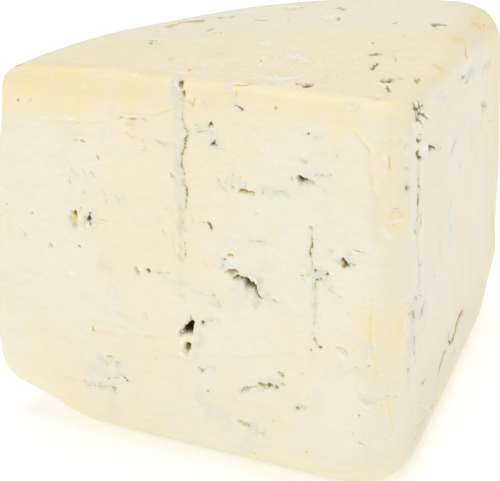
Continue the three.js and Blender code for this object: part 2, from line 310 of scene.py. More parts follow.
# The kinds of mark. depth is how far a mark of strength 1 is sunk, in millimetres, and below zero it is raised. wall is
# how soft its outline is and ragged how uneven. lean is how far it runs up behind its own upper edge, and rim how high
# its edge stands, both for each millimetre of depth. The pit finish is painted shade inside a sunk mark, and lit is how
# much of that painted shade the light takes from its lower side. The finishes that it gives inside its outline follow,
# and halo gives those around it, each with its width. edge is how fine the mesh is there, and 0 where it needs no fine
# mesh.
KINDS = {
    "track": dict(depth=0.4, wall=0.8, ragged=0.4, edge=0.4, inside=dict(bloom=0.45), halo=dict(bloom=(0.2, 0.5))),
    # Round hole, cavity, brown_hole and nick the pale halo is a painted highlight on the rim
    "hole": dict(
        depth=2.6,
        wall=0.22,
        ragged=0.5,
        lean=0.25,
        rim=0.05,
        lit=0.25,
        edge=0.2,
        inside=dict(pit=1.15, mould=0.9, rust=0.6),
        halo=dict(olive=(0.5, 0.4), bloom=(0.3, 0.9), pale=(0.8, 0.3)),
    ),
    "cavity": dict(
        depth=2.6,
        wall=0.25,
        ragged=0.55,
        lean=0.35,
        rim=0.04,
        lit=0.45,
        edge=0.2,
        inside=dict(pit=0.9, mould=0.9, rust=0.4, olive=0.9),
        halo=dict(olive=(0.5, 0.5), bloom=(0.3, 1), pale=(0.7, 0.3)),
    ),
    "brown_hole": dict(
        depth=2.3,
        wall=0.3,
        ragged=0.45,
        lean=0.3,
        rim=0.05,
        lit=0.5,
        edge=0.22,
        inside=dict(pit=0.8, rust=0.85),
        halo=dict(ochre=(0.5, 0.35), pale=(0.5, 0.3)),
    ),
    "nick": dict(
        depth=0.9,
        wall=0.2,
        ragged=0.3,
        lean=0.3,
        lit=0.25,
        edge=0.22,
        inside=dict(pit=0.85, mould=1),
        halo=dict(olive=(0.5, 0.4), bloom=(0.15, 0.8), pale=(0.5, 0.3)),
    ),
    "vein": dict(
        depth=0.35,
        wall=0.25,
        ragged=0.36,
        edge=0.27,
        inside=dict(mould=0.88),
        halo=dict(olive=(0.6, 0.5), bloom=(0.25, 1.1)),
    ),
    "hair": dict(depth=0.12, wall=0.2, ragged=0.2, edge=0.27, inside=dict(mould=0.75), halo=dict(olive=(0.3, 0.4), bloom=(0.2, 0.8))),
    "rust": dict(depth=0.25, wall=0.25, ragged=0.25, edge=0.27, inside=dict(rust=0.9), halo=dict(ochre=(0.5, 0.4))),
    "pip": dict(depth=0.1, wall=0.25, ragged=0.25, edge=0.27, inside=dict(orange=1), halo=dict(wax=(0.5, 0.5))),
    "scratch": dict(depth=0.2, wall=0.2, ragged=0.15, edge=0.3, inside=dict(ochre=0.7), halo=dict(ochre=(0.2, 0.3))),
    # The crease's ochre is painted shade in its groove; its wax is the paste's own waxy colour
    "crease": dict(depth=0.22, wall=0.25, ragged=0.08, edge=0.4, inside=dict(wax=0.7, ochre=0.4), halo=dict(wax=(0.3, 0.6))),
    "chip": dict(depth=-0.15, wall=0.35, ragged=0.4, edge=0.4, inside=dict(wax=1, ochre=0.45), halo=dict(wax=(0.6, 0.6))),
    "dent": dict(depth=0.7, wall=0.6, ragged=0.3, edge=0.4, inside=dict(bloom=0.3, olive=0.2), halo=dict(bloom=(0.3, 1.2))),
    # The flake's pale is partly paler paste and partly a painted highlight on its raised lip
    "flake": dict(depth=-0.26, wall=0.25, ragged=0.4, edge=0.27, inside=dict(pale=0.6), halo=dict(pale=(0.15, 0.4))),
    # The smear's ochre halo is a painted shadow round the raised smear
    "smear": dict(depth=-0.12, wall=0.2, ragged=0.2, edge=0.32, inside=dict(pale=1), halo=dict(ochre=(0.25, 0.4))),
    "pale": dict(depth=-0.04, wall=0.4, ragged=0.6, edge=0.4, inside=dict(pale=0.75)),
    "bloom": dict(depth=0, wall=1.5, ragged=1.1, edge=0, inside=dict(bloom=0.9)),
    "olive": dict(depth=0, wall=0.9, ragged=0.8, edge=0, inside=dict(olive=0.9)),
    "tan": dict(depth=0, wall=0.7, ragged=0.7, edge=0, inside=dict(ochre=0.6)),
    "wax": dict(depth=-0.05, wall=4.2, ragged=1.6, edge=0, inside=dict(wax=0.8)),
}
STAIN_EDGE = (-0.26, 0.16)
CLOUD_EDGE = (-0.9, 0.8)
# Of these, pit is painted shade in the sunk marks, and the last is painted shade low down and on the right cut
FINISHES = ("pit", "mould", "rust", "orange", "ochre", "olive", "bloom", "wax", "pale", "top", "behind", "dull")

# The marks: kind, strength and the path, as (across from the corner, up, half width) on the two cuts.
LEFT_MARKS = [
    # The long needle track under the front edge
    ("track", 1.2, (50.3, 93.6, 0.8), (49.8, 92, 1), (49.3, 88, 0.9)),
    ("track", 0.9, (49.2, 88, 0.9), (49.1, 78, 0.95), (49, 66, 0.85)),
    ("track", 0.45, (49, 66, 0.8), (48.9, 56, 0.8), (48.8, 45, 0.7)),
    ("olive", 0.7, (48.7, 64.5, 0.8), (48.8, 58, 0.9), (48.7, 52, 0.7)),
    ("olive", 0.6, (49.2, 60.6, 0.7), (46.2, 59.4, 0.6)),
    ("rust", 0.5, (49.5, 59.8, 0.25), (48.6, 59.9, 0.2)),
    ("hair", 0.6, (47.8, 56.8, 0.2), (47.6, 55.2, 0.2), (47.6, 53.7, 0.35)),
    ("olive", 0.7, (47.7, 55.5, 0.4), (47.6, 53.6, 0.5)),
    ("bloom", 0.8, (48.6, 47.4, 0.5), (48.5, 44, 0.8)),
    ("bloom", 0.7, (50.4, 46, 0.8), (49.9, 44.4, 0.4)),
    ("bloom", 0.6, (46, 45.2, 0.4), (42, 45.4, 0.5)),
    ("hair", 0.4, (45, 45, 0.2), (43.6, 45.2, 0.2), (41.6, 44.9, 0.15)),
    ("rust", 0.5, (40.7, 45.4, 0.3), (40.2, 45.2, 0.25)),
    ("bloom", 0.7, (40, 43.6, 1), (39, 43, 0.7)),
    ("vein", 0.5, (39.4, 43.8, 0.2), (38.8, 42.6, 0.3)),
    # Beside it, near the top
    ("bloom", 0.6, (42, 79.6, 0.7), (40, 79.8, 0.9), (39, 81.4, 0.5)),
    ("flake", 0.6, (41.6, 80.2, 0.15), (40.4, 79.6, 0.2), (39.4, 79.6, 0.15)),
    ("rust", 0.35, (43, 79.2, 0.25)),
    ("bloom", 0.6, (44, 84.4, 1.4), (41, 82.5, 1.6)),
    ("rust", 0.7, (36.3, 92.5, 0.3), (36.1, 91.9, 0.25)),
    ("bloom", 0.6, (37.6, 94.5, 0.6), (36.4, 92, 0.9), (35, 89.4, 0.8)),
    ("nick", 0.6, (36.1, 89.8, 0.2), (35.4, 89.5, 0.25), (34.7, 89, 0.25)),
    ("pip", 1, (27.3, 90.5, 0.4)),
    ("rust", 0.5, (51.1, 72.4, 0.4), (50.8, 71.9, 0.4)),
    ("crease", 0.8, (56.5, 85, 0.25), (53, 86.2, 0.3), (50.4, 87.4, 0.2)),
    ("hair", 0.3, (55, 79.4, 0.15), (54.2, 79.2, 0.25), (52.4, 79, 0.15), (51.2, 79.6, 0.12)),
    ("scratch", 0.6, (54.8, 79.8, 0.15), (53.4, 79.6, 0.2), (52.2, 79.9, 0.15)),
    ("scratch", 0.7, (57, 80.4, 0.18), (56.6, 79.2, 0.18)),
    ("olive", 0.4, (55, 79.4, 0.9), (52, 79.2, 1)),
    ("scratch", 0.8, (53.2, 79.2, 0.2), (52.4, 78.2, 0.2)),
    # The slit and the lumps at the upper left
    ("flake", 0.7, (62, 84.2, 0.2), (60.6, 84.5, 0.2), (58.6, 84.6, 0.2), (56.2, 84.1, 0.15)),
    ("dent", 0.7, (61.2, 82.7, 0.5), (60.2, 82.6, 0.6)),
    # Painted shadow under the fold, whose lit lip is the flake above
    ("tan", 0.7, (61.2, 83, 0.4), (60.2, 82.6, 0.4)),
    ("bloom", 0.5, (60.5, 83.6, 0.6), (57.6, 83.9, 0.5)),
    ("crease", 0.9, (61, 82.8, 0.2), (60.2, 81.6, 0.2)),
    ("rust", 0.4, (59.5, 85, 0.25)),
    ("rust", 0.5, (63, 80.2, 0.25)),
    ("scratch", 1, (62, 80.4, 0.18), (60.4, 79.4, 0.15), (59.6, 79.5, 0.1)),
    ("scratch", 0.9, (58, 79.6, 0.2), (57.7, 78.4, 0.2)),
    ("scratch", 0.7, (57.4, 77.8, 0.18), (56.2, 76.8, 0.15)),
    ("scratch", 0.7, (58.2, 76.8, 0.2), (57.4, 76.9, 0.2)),
    ("scratch", 0.6, (65.9, 79.8, 0.15), (65.8, 78.8, 0.15)),
    ("pip", 1, (73.2, 76.9, 0.35), (72.4, 76.6, 0.25)),
    ("pip", 1, (69.2, 73.8, 0.3), (68.9, 73.1, 0.3)),
    ("rust", 0.4, (74.8, 76.6, 0.35), (74.2, 76.9, 0.2)),
    ("pip", 1, (89.1, 84, 0.4)),
    ("rust", 0.35, (86.2, 84.2, 0.3), (85.6, 84.8, 0.3)),
    ("rust", 0.5, (78.4, 82, 0.25)),
    ("rust", 0.35, (74, 80.8, 0.25)),
    ("pale", 0.5, (85.4, 80.9, 0.6), (82.4, 80.8, 0.5)),
    ("pale", 0.8, (77, 81.6, 0.3), (74.2, 81.7, 0.3)),
    ("pale", 0.6, (81, 78.8, 0.3), (80.2, 78.6, 0.3)),
    ("pale", 0.5, (72, 89.4, 0.6), (71, 88.2, 0.6)),
    ("crease", 0.9, (90.5, 89.6, 0.3), (87, 89.9, 0.3), (83, 89.4, 0.2)),
    ("crease", 0.6, (82, 80.4, 0.2), (74, 81, 0.25), (66, 82.4, 0.2)),
    ("crease", 0.5, (78, 77.8, 0.2), (70, 78.6, 0.25)),
    ("wax", 1, (91, 92, 2.5), (80, 91, 3), (70, 90, 1.5)),
    ("wax", 1, (92, 86, 5), (78, 86, 5), (64, 88, 3)),
    ("wax", 0.2, (40, 78, 4), (32, 80, 6), (26, 84, 4)),
    # Small slanting knife marks
    ("scratch", 1, (76, 69.9, 0.18), (75.2, 68.8, 0.15), (74.6, 68.2, 0.15)),
    ("scratch", 0.9, (73.2, 70, 0.18), (72.2, 68.6, 0.15)),
    ("scratch", 1.1, (71.1, 69.8, 0.25), (70.2, 68.8, 0.18)),
    ("scratch", 1, (76.7, 67.2, 0.25), (76.5, 66.4, 0.25)),
    ("scratch", 0.7, (78.8, 67.6, 0.25), (78.4, 67.8, 0.2)),
    ("scratch", 0.9, (73, 65, 0.25), (72.9, 64.2, 0.2)),
    ("scratch", 1, (72.1, 63.4, 0.25)),
    ("scratch", 0.9, (68.3, 66.2, 0.18), (67.5, 64.6, 0.18)),
    ("scratch", 1, (67.3, 63.6, 0.25), (67.3, 63.1, 0.2)),
    ("scratch", 0.9, (64.5, 65, 0.25), (63.9, 63.8, 0.18)),
    ("tan", 0.8, (62.4, 65.3, 0.4), (60.8, 65.2, 0.5), (58.6, 65.4, 0.4)),
    ("bloom", 0.4, (65, 65.6, 1.6), (63, 63, 2)),
    ("scratch", 0.8, (53.3, 59, 0.2), (52.4, 57.6, 0.2)),
    ("scratch", 0.6, (50.9, 59, 0.2), (50.5, 56.4, 0.15), (50.1, 54, 0.15)),
    ("scratch", 0.6, (51.2, 65, 0.15), (50.8, 62.6, 0.15)),
    ("scratch", 0.6, (52.6, 64.2, 0.15), (51.8, 64.6, 0.15)),
    ("scratch", 0.5, (56.6, 60.6, 0.15), (56, 58.8, 0.15)),
    ("scratch", 0.5, (54.8, 62.8, 0.12), (54.2, 61.4, 0.12)),
    ("rust", 0.4, (46.2, 63.8, 0.2), (45.9, 62.8, 0.2)),
    ("tan", 0.7, (46, 62.2, 0.4), (44.4, 62, 0.3)),
    ("hair", 0.5, (44.6, 62.2, 0.15), (43.4, 62.4, 0.2), (42.5, 62.6, 0.15)),
    ("bloom", 0.4, (42.4, 62.8, 0.8), (41, 62.4, 0.6)),
    ("bloom", 0.4, (48.6, 75, 0.6), (49.8, 70, 0.7)),
    # The pair of pits at the left
    ("flake", 0.7, (74.1, 59.8, 0.3), (74.2, 57.6, 0.3), (74, 55.4, 0.25)),
    ("pale", 0.8, (72.2, 56.2, 0.7), (71.8, 55.6, 0.5)),
    ("bloom", 0.6, (70.8, 60.6, 0.4), (70.4, 57.2, 0.6)),
    ("rust", 0.5, (69.4, 58.6, 0.18), (67, 58.5, 0.18)),
    ("rust", 0.55, (65, 58.6, 0.25)),
    ("rust", 0.8, (74.7, 51, 0.38)),
    ("rust", 0.5, (77.2, 51.3, 0.25)),
    ("rust", 0.6, (86.9, 57.1, 0.4)),
    ("rust", 0.6, (93.7, 58.2, 0.4)),
    ("vein", 0.45, (83.2, 50.4, 0.2), (82.2, 49.9, 0.35), (81.8, 49.4, 0.25)),
    ("tan", 0.8, (82.4, 50, 0.7)),
    ("scratch", 0.8, (89.8, 52.4, 0.2), (89, 50.9, 0.2)),
    ("bloom", 0.4, (93.5, 54.5, 0.8), (94, 51.5, 1)),
    ("olive", 0.35, (87.5, 54.4, 1.3), (85.4, 52.4, 0.8)),
    # The row under them
    ("brown_hole", 0.3, (60, 48.2, 0.5), (59.6, 47.2, 0.5)),
    ("rust", 0.4, (59.1, 46.3, 0.2), (58.9, 45.7, 0.2)),
    ("pale", 0.7, (59, 48.6, 0.4), (59.2, 47.2, 0.3)),
    ("nick", 0.9, (57.2, 48.3, 0.2), (56.8, 48, 0.35)),
    ("hair", 0.7, (56.6, 48.2, 0.15), (54, 48.2, 0.2), (51.6, 48.7, 0.2)),
    ("bloom", 0.5, (57, 48.8, 0.5), (53, 48.2, 0.6), (51.4, 48.7, 0.4)),
    ("pale", 0.35, (77.4, 44, 0.5), (75.6, 43.8, 0.6)),
    ("olive", 0.55, (69, 48.4, 1.6), (67.6, 47.4, 1.4)),
    ("bloom", 0.5, (75, 38.8, 0.8), (71.2, 39.4, 1.1)),
    ("bloom", 0.4, (68, 35.4, 1.2), (63, 35.2, 1)),
    ("olive", 0.35, (68, 42, 1.4), (66.6, 43.4, 1.2)),
    ("scratch", 0.6, (70, 36, 0.15), (69.6, 34.6, 0.15)),
    ("scratch", 0.6, (58, 37.6, 0.2), (57.2, 35.8, 0.2)),
    ("bloom", 0.35, (57.4, 36.4, 1)),
    ("rust", 0.5, (71.8, 30.6, 0.3), (71.6, 29.8, 0.4)),
    ("tan", 0.6, (70.4, 29.4, 0.5), (69.4, 29.2, 0.4)),
    ("tan", 0.9, (57.4, 31.2, 0.35), (55.8, 31.4, 0.35)),
    ("pale", 0.7, (58.4, 30.9, 0.35)),
    ("tan", 0.7, (52.2, 31.4, 0.3), (51.4, 30.7, 0.3)),
    ("crease", 0.6, (54, 31.6, 0.3), (62, 31, 0.3), (72, 29.8, 0.3)),
    ("rust", 0.35, (54.9, 26.1, 0.3)),
    ("olive", 0.5, (54.6, 12, 0.9), (53.6, 11, 0.8)),
    # The cavity in the middle
    ("cavity", 1, (35.8, 50.2, 0.45), (34.6, 50.9, 0.75), (33.4, 50.6, 0.8)),
    ("cavity", 0.9, (33.6, 50.5, 0.8), (32.4, 49.8, 0.8)),
    ("brown_hole", 0.45, (37.4, 51.4, 0.35), (36.4, 51.6, 0.55), (35.5, 52, 0.45)),
    ("rust", 1, (37.2, 55.8, 0.3), (36.3, 55.8, 0.32)),
    ("hair", 0.9, (38.1, 54.5, 0.25), (37.9, 54.6, 0.25)),
    ("vein", 0.4, (38.6, 52.8, 0.3), (38.2, 53.1, 0.25)),
    ("bloom", 0.6, (38.4, 54.4, 0.8), (38.4, 52.8, 0.8)),
    ("tan", 0.7, (36.4, 53, 0.5), (35.2, 53.8, 0.3)),
    ("bloom", 1, (30.6, 46.8, 0.8), (30.4, 44, 0.6)),
    ("bloom", 0.9, (30, 50.6, 0.8), (28, 48.6, 1), (26, 47.8, 0.9)),
    ("bloom", 0.5, (36, 48.8, 1.2), (33, 46.8, 0.9)),
    ("hair", 0.6, (36.6, 47.2, 0.18), (36, 47.5, 0.18)),
    ("hair", 0.6, (26.3, 47.1, 0.2), (25.4, 46.7, 0.15)),
    ("olive", 0.6, (29.6, 51.8, 0.5), (28.9, 50.9, 0.5)),
    ("hair", 0.5, (30.8, 51.9, 0.12), (29.8, 51, 0.15), (29.2, 50.6, 0.15)),
    ("flake", 1, (32, 52, 0.2), (31, 51.4, 0.35), (30.2, 50.8, 0.3)),
    ("olive", 0.45, (26.8, 55.2, 0.8), (26.2, 54.4, 0.6)),
    ("bloom", 0.4, (28.8, 54.6, 0.8)),
    ("scratch", 0.6, (42.8, 54, 0.15), (42.6, 52.6, 0.15), (42.4, 52.2, 0.2)),
    # The slit and its grey tail, above the middle
    ("rust", 0.6, (36.6, 72, 0.35), (36.4, 71.6, 0.25)),
    ("rust", 0.45, (38.2, 73.2, 0.2), (38.1, 72.6, 0.25)),
    ("rust", 0.6, (36.5, 74.6, 0.3)),
    ("rust", 0.4, (34.7, 74.3, 0.25)),
    ("rust", 0.3, (38, 74.2, 0.2)),
    ("scratch", 1, (40.1, 73.4, 0.25), (39.4, 71.9, 0.15), (38.4, 70.9, 0.12), (37.8, 70.5, 0.2)),
    ("bloom", 0.5, (36.6, 72.6, 2), (34.4, 72.6, 1.4)),
    ("bloom", 0.8, (30, 71.8, 0.9), (27, 72.4, 1.2), (24.6, 72.2, 0.9)),
    ("hair", 0.6, (27.2, 72.3, 0.15), (25.8, 72.6, 0.2), (24.8, 72.4, 0.15)),
    ("hair", 0.6, (29.6, 71.9, 0.2), (29.5, 71.3, 0.2)),
    ("hair", 0.4, (28.2, 70.8, 0.15), (27.2, 70.6, 0.15)),
    ("bloom", 0.4, (31.6, 69.9, 0.4), (30.4, 69.4, 0.4)),
    ("hair", 0.4, (31.2, 66.5, 0.15), (30, 67, 0.15)),
    ("hair", 0.7, (32.6, 60.1, 0.2), (30.6, 60.2, 0.25), (28.6, 60.5, 0.15)),
    ("bloom", 0.5, (32.4, 60.2, 0.5), (28, 60.6, 0.6), (27.2, 61, 0.4)),
    ("bloom", 0.3, (28.2, 63, 0.5)),
    ("olive", 0.6, (24.2, 73.2, 0.5), (23.8, 71.4, 0.5)),
    # The dark three-cornered pit
    ("flake", 0.6, (18.6, 75.2, 0.2), (17.4, 74.8, 0.25), (16.6, 73.8, 0.15)),
    ("bloom", 0.9, (23.6, 75.4, 0.6), (22.8, 75.6, 0.6)),
    ("bloom", 0.9, (21, 75, 0.5), (18.6, 75.2, 0.8), (17.6, 76.6, 0.6)),
    ("bloom", 0.9, (18, 77.6, 0.7), (16, 77.6, 0.9), (14.6, 78, 0.5)),
    ("hair", 0.5, (18, 77.4, 0.15), (16.6, 77.6, 0.2), (15.6, 77.4, 0.15)),
    ("rust", 0.5, (14.8, 78, 0.25)),
    ("tan", 0.9, (17.4, 75, 0.4), (16.6, 74.4, 0.4), (15.4, 74.3, 0.4)),
    ("hair", 0.5, (23.2, 76, 0.2), (23, 74.8, 0.25)),
    ("rust", 0.7, (20.4, 86, 0.3), (20, 86, 0.2)),
    ("bloom", 0.7, (19.6, 85.8, 0.5), (17, 85.5, 0.5)),
    ("flake", 0.5, (19.4, 87.4, 0.25), (18.4, 87.9, 0.25)),
    ("tan", 0.8, (16.4, 86.5, 0.4), (15.8, 86.3, 0.3)),
    ("bloom", 0.6, (13.8, 83.2, 0.5), (13.2, 82.2, 0.6)),
    ("hair", 0.5, (13.7, 82.8, 0.2), (13.4, 82.2, 0.2)),
    ("olive", 0.4, (11.8, 80.9, 0.7)),
    ("pale", 0.4, (27, 79, 0.4), (26.3, 78.6, 0.4)),
    # The second needle track and the veins that cross it
    ("track", 0.35, (18.6, 66, 0.35), (18.1, 62, 0.4), (18, 58, 0.4), (17, 54, 0.5)),
    ("track", 0.5, (16.9, 53, 0.6), (16.6, 48, 0.6), (16.7, 41, 0.5)),
    ("vein", 0.7, (18.6, 65.6, 0.25), (18.2, 65.2, 0.15)),
    ("hair", 0.8, (18.2, 64.8, 0.15), (18.1, 62.8, 0.2)),
    ("vein", 0.8, (18.1, 62.6, 0.2), (17.9, 61.8, 0.25), (18.3, 60.6, 0.18), (18.5, 59.6, 0.3), (18, 58.8, 0.15)),
    ("hair", 0.4, (18, 58.8, 0.15), (17.7, 57.4, 0.2), (17.7, 56, 0.2)),
    ("vein", 0.5, (16, 54.3, 0.3), (15.5, 54.3, 0.25)),
    ("hair", 0.7, (19, 54.5, 0.15), (17.4, 54.2, 0.2)),
    ("rust", 0.6, (20.1, 54.2, 0.25), (19.6, 54.1, 0.2)),
    ("scratch", 0.7, (19.6, 53.7, 0.18), (19, 52.9, 0.15)),
    ("vein", 0.5, (16.8, 53, 0.25), (16.9, 51.8, 0.25)),
    ("bloom", 1, (17.6, 55.6, 1), (15.6, 54.8, 1.2), (13.6, 52.6, 0.6)),
    ("olive", 0.6, (16.8, 53, 0.5), (16.7, 48, 0.7), (16.6, 44, 0.6)),
    ("hair", 0.3, (16.7, 49.5, 0.15), (16.6, 47.5, 0.15)),
    ("vein", 0.35, (16.6, 46.4, 0.2), (16.5, 44.6, 0.25), (16.6, 43.2, 0.15)),
    ("vein", 0.45, (16.7, 40.8, 0.2), (16.3, 39.6, 0.3), (15.8, 38.4, 0.2), (15, 37.7, 0.25)),
    ("nick", 0.5, (14.9, 37.7, 0.3)),
    ("bloom", 0.5, (14.6, 36.8, 0.5)),
    ("rust", 0.8, (17.1, 37.2, 0.22), (16.9, 36.7, 0.25)),
    # The pit near the corner
    ("rust", 0.8, (11.7, 59, 0.35), (11, 58.4, 0.4), (10.6, 57.8, 0.25)),
    ("bloom", 0.9, (13, 59.6, 0.5), (10, 59.6, 0.8), (8.6, 58.8, 0.6)),
    ("hair", 0.7, (10.6, 59.3, 0.25), (9.4, 59, 0.25), (8.1, 58.9, 0.15)),
    ("tan", 1, (10.2, 60.7, 0.5), (9.2, 61.2, 0.4)),
    ("hair", 0.9, (8.9, 62.4, 0.12), (7.4, 62, 0.18), (5.8, 62, 0.15)),
    ("rust", 0.5, (5.6, 61.9, 0.18), (4.6, 61.4, 0.18)),
    ("bloom", 0.7, (14.8, 61.2, 0.5), (13.2, 61.2, 0.7)),
    ("hair", 0.4, (14, 61.3, 0.2), (13.3, 60.9, 0.25)),
    ("tan", 0.5, (8, 56, 1.2), (6, 54.5, 1)),
    ("bloom", 0.5, (5.8, 51.6, 0.5)),
    ("flake", 0.4, (6.2, 51.6, 0.2)),
    # The peeled flake under it
    ("scratch", 1, (11, 38.6, 0.15), (9.8, 38.7, 0.25), (8.8, 37.9, 0.2), (8.5, 37, 0.12)),
    ("flake", 1.1, (11, 38, 0.35), (10.3, 37.5, 0.6), (9.6, 36.8, 0.5), (9.8, 36, 0.25)),
    ("bloom", 0.6, (10.2, 36, 0.5), (10, 34, 0.8)),
    ("vein", 0.4, (4.4, 36.2, 0.12), (3.4, 35.5, 0.25), (2.4, 35.1, 0.25)),
    ("rust", 0.35, (6.4, 34.8, 0.3)),
    ("bloom", 0.6, (4.2, 40.2, 0.5), (3.2, 40.2, 0.5)),
    ("bloom", 0.4, (7.4, 43.9, 0.5)),
    # Cracks and stains by the corner, lower down
    ("hair", 0.4, (4.6, 27.2, 0.15), (3.4, 26.7, 0.2), (2.6, 26.9, 0.15)),
    ("hair", 0.5, (1.4, 27.2, 0.15), (0.4, 27.1, 0.2), (0.1, 26.7, 0.15)),
    ("hair", 0.6, (-0.4, 29.5, 0.25), (-1.6, 29.5, 0.15), (-2.8, 29.8, 0.2), (-3.2, 29.7, 0.15)),
    ("bloom", 0.6, (5.6, 28.4, 0.8), (3, 27.2, 1.2), (0, 29, 1)),
    ("flake", 0.8, (4.8, 26.4, 0.15), (3.6, 25.7, 0.25), (2.4, 25.5, 0.2)),
    ("flake", 0.6, (8, 28.4, 0.15), (6.8, 27.8, 0.2)),
    ("flake", 0.5, (5.6, 28.6, 0.15), (6.4, 28.2, 0.2)),
    ("bloom", 0.3, (4, 33, 2.2), (1.4, 31, 1.6)),
    ("rust", 0.8, (5.3, 23.3, 0.2), (5, 22.9, 0.25)),
    ("rust", 0.4, (6.6, 18.6, 0.3), (6, 17.8, 0.25)),
    ("vein", 0.35, (4.6, 16.2, 0.12), (3.2, 15.6, 0.25)),
    ("scratch", 0.6, (3.9, 17.4, 0.18), (3.5, 17, 0.18)),
    ("rust", 0.4, (3.5, 14.4, 0.2)),
    ("bloom", 0.35, (3, 14.4, 1.2), (-0.5, 14.2, 0.8)),
    ("rust", 0.6, (-1, 12.2, 0.2), (-1.8, 12.1, 0.18)),
    ("rust", 0.35, (-1, 18.8, 0.2), (-1.7, 18.4, 0.18)),
    ("scratch", 0.6, (-2.8, 16.3, 0.18), (-4.6, 16.2, 0.15)),
    ("pip", 1, (16.9, 10.3, 0.3)),
    ("rust", 0.35, (18.8, 30.3, 0.3)),
    ("tan", 0.4, (18.7, 27, 0.5)),
    ("rust", 0.3, (25.2, 16.7, 0.35), (24.8, 16.5, 0.3)),
    ("rust", 0.3, (23.6, 17.5, 0.3), (23.2, 17.4, 0.25)),
    ("rust", 0.35, (10.6, 20.7, 0.2), (10.1, 20.2, 0.18)),
    ("bloom", 0.35, (14.5, 26, 1.6), (15.5, 20, 2)),
    ("rust", 0.3, (35.6, 32.8, 0.25)),
    # The big pit low in the middle and the brown one under it
    ("rust", 0.6, (46.4, 39.4, 0.2), (46, 38.4, 0.35), (46.1, 37.8, 0.3)),
    ("pale", 0.9, (48, 33, 0.5), (48.4, 31.6, 0.5)),
    ("flake", 0.9, (45, 36.6, 0.15), (45.2, 35.4, 0.25), (45.6, 33.6, 0.4), (45.4, 31.6, 0.35), (45.8, 29.6, 0.2)),
    ("flake", 0.7, (48.8, 29, 0.3), (47.4, 28.4, 0.35)),
    ("bloom", 0.8, (44.4, 36.5, 0.6), (43.2, 33.6, 0.8), (44.6, 31, 0.7)),
    ("bloom", 0.6, (45.4, 28.4, 0.8)),
    ("nick", 0.7, (43.1, 38.1, 0.25), (43.3, 37.6, 0.15)),
    ("hair", 0.7, (43.6, 37.2, 0.15), (41.6, 38.6, 0.15), (40.4, 39.2, 0.2)),
    ("bloom", 0.8, (43, 38, 0.8), (41, 38.9, 0.5), (39.4, 39.2, 0.4)),
    ("olive", 0.6, (43.9, 32.5, 0.5)),
    ("vein", 0.5, (44, 26.1, 0.25), (43.3, 25.4, 0.35), (42.8, 25.9, 0.2)),
    ("bloom", 0.9, (41.8, 26.6, 0.7), (40.6, 26.4, 0.7)),
    ("crease", 0.5, (46, 27.4, 0.3), (50, 28, 0.3), (55, 28.6, 0.3)),
    ("crease", 0.45, (42, 29.8, 0.3), (34, 31.4, 0.3), (26, 33.6, 0.3)),
    # The grainy dark vein below the middle
    ("vein", 0.35, (33, 22.9, 0.4), (32.2, 23.6, 0.6), (31.2, 23.7, 0.5), (30.2, 24.2, 0.55)),
    ("vein", 0.35, (30, 24.4, 0.5), (28.8, 25.4, 0.5), (27.4, 25, 0.6), (26.2, 25.8, 0.6)),
    ("vein", 0.35, (26.4, 25.7, 0.5), (25.2, 25.6, 0.4), (24.6, 25.3, 0.55)),
    ("nick", 0.4, (32, 23.8, 0.15)),
    ("nick", 0.5, (28.8, 25.5, 0.2), (28.2, 25.3, 0.15)),
    ("nick", 0.5, (26.5, 25.8, 0.2), (26.1, 25.6, 0.15)),
    ("nick", 0.5, (24.7, 25.3, 0.25)),
    ("flake", 0.5, (30, 25, 0.2), (27.6, 25.9, 0.2), (25.4, 26.4, 0.15)),
    ("vein", 0.35, (24.4, 29.3, 0.3), (23.3, 28.8, 0.5)),
    ("nick", 0.3, (23.4, 28.7, 0.2)),
    ("hair", 0.7, (23.7, 26.8, 0.25), (22.9, 26.5, 0.25)),
    ("bloom", 0.9, (33, 23.4, 0.9), (28, 25.2, 1.1), (23.5, 27, 1.2)),
    ("vein", 0.4, (19.8, 21.7, 0.45), (19.2, 21.2, 0.5)),
    ("nick", 0.25, (19.6, 21.3, 0.2)),
    ("olive", 1, (18.8, 22, 0.5), (18, 21.7, 0.4)),
    ("bloom", 0.7, (19.6, 21.4, 1.1)),
    # Low stains on the bulge above the base
    ("vein", 0.4, (33.6, 14.5, 0.25), (32.2, 13.8, 0.5), (31.4, 13.9, 0.45), (30, 14.6, 0.25)),
    ("bloom", 1, (33.4, 13.8, 0.7), (30, 13.4, 1.2), (27.8, 12.4, 1)),
    ("rust", 0.4, (27.5, 12.6, 0.25)),
    ("rust", 0.4, (30, 14.9, 0.25)),
    ("bloom", 0.5, (44.6, 18.6, 1.6), (43, 17, 1.4), (41, 14.6, 1.2)),
    ("bloom", 0.5, (39, 16.6, 1.6), (37, 13, 2)),
    ("rust", 0.5, (41.8, 20.4, 0.3), (41.4, 20.6, 0.25)),
    ("rust", 0.3, (40.4, 20.9, 0.25)),
    ("bloom", 0.6, (43.6, 21.4, 0.6)),
    ("olive", 0.4, (40.6, 14.6, 0.8)),
    ("bloom", 0.5, (35, 19.8, 0.6)),
    ("hair", 0.3, (35, 19.9, 0.2)),
    ("rust", 0.35, (45.6, 15.4, 0.2), (45.3, 15, 0.18)),
    ("bloom", 0.5, (32, 9.2, 1.4), (33, 7, 1.2)),
    ("rust", 0.4, (28.8, 8.4, 0.3)),
    ("rust", 0.6, (29.4, 6.6, 0.4), (29, 6.2, 0.35)),
    # The net of veins at the lower left
    ("rust", 0.7, (67.8, 23.7, 0.25), (66.8, 23.8, 0.25)),
    ("vein", 0.3, (66, 22.7, 0.2), (65.1, 22.5, 0.35)),
    ("rust", 0.9, (65.2, 22.5, 0.3)),
    ("hair", 0.4, (65.4, 22, 0.15), (65.3, 20.9, 0.2), (64.4, 20, 0.15), (63.2, 18.9, 0.2)),
    ("vein", 0.3, (63.4, 18.8, 0.2), (62.6, 18.4, 0.35), (61.9, 18, 0.15)),
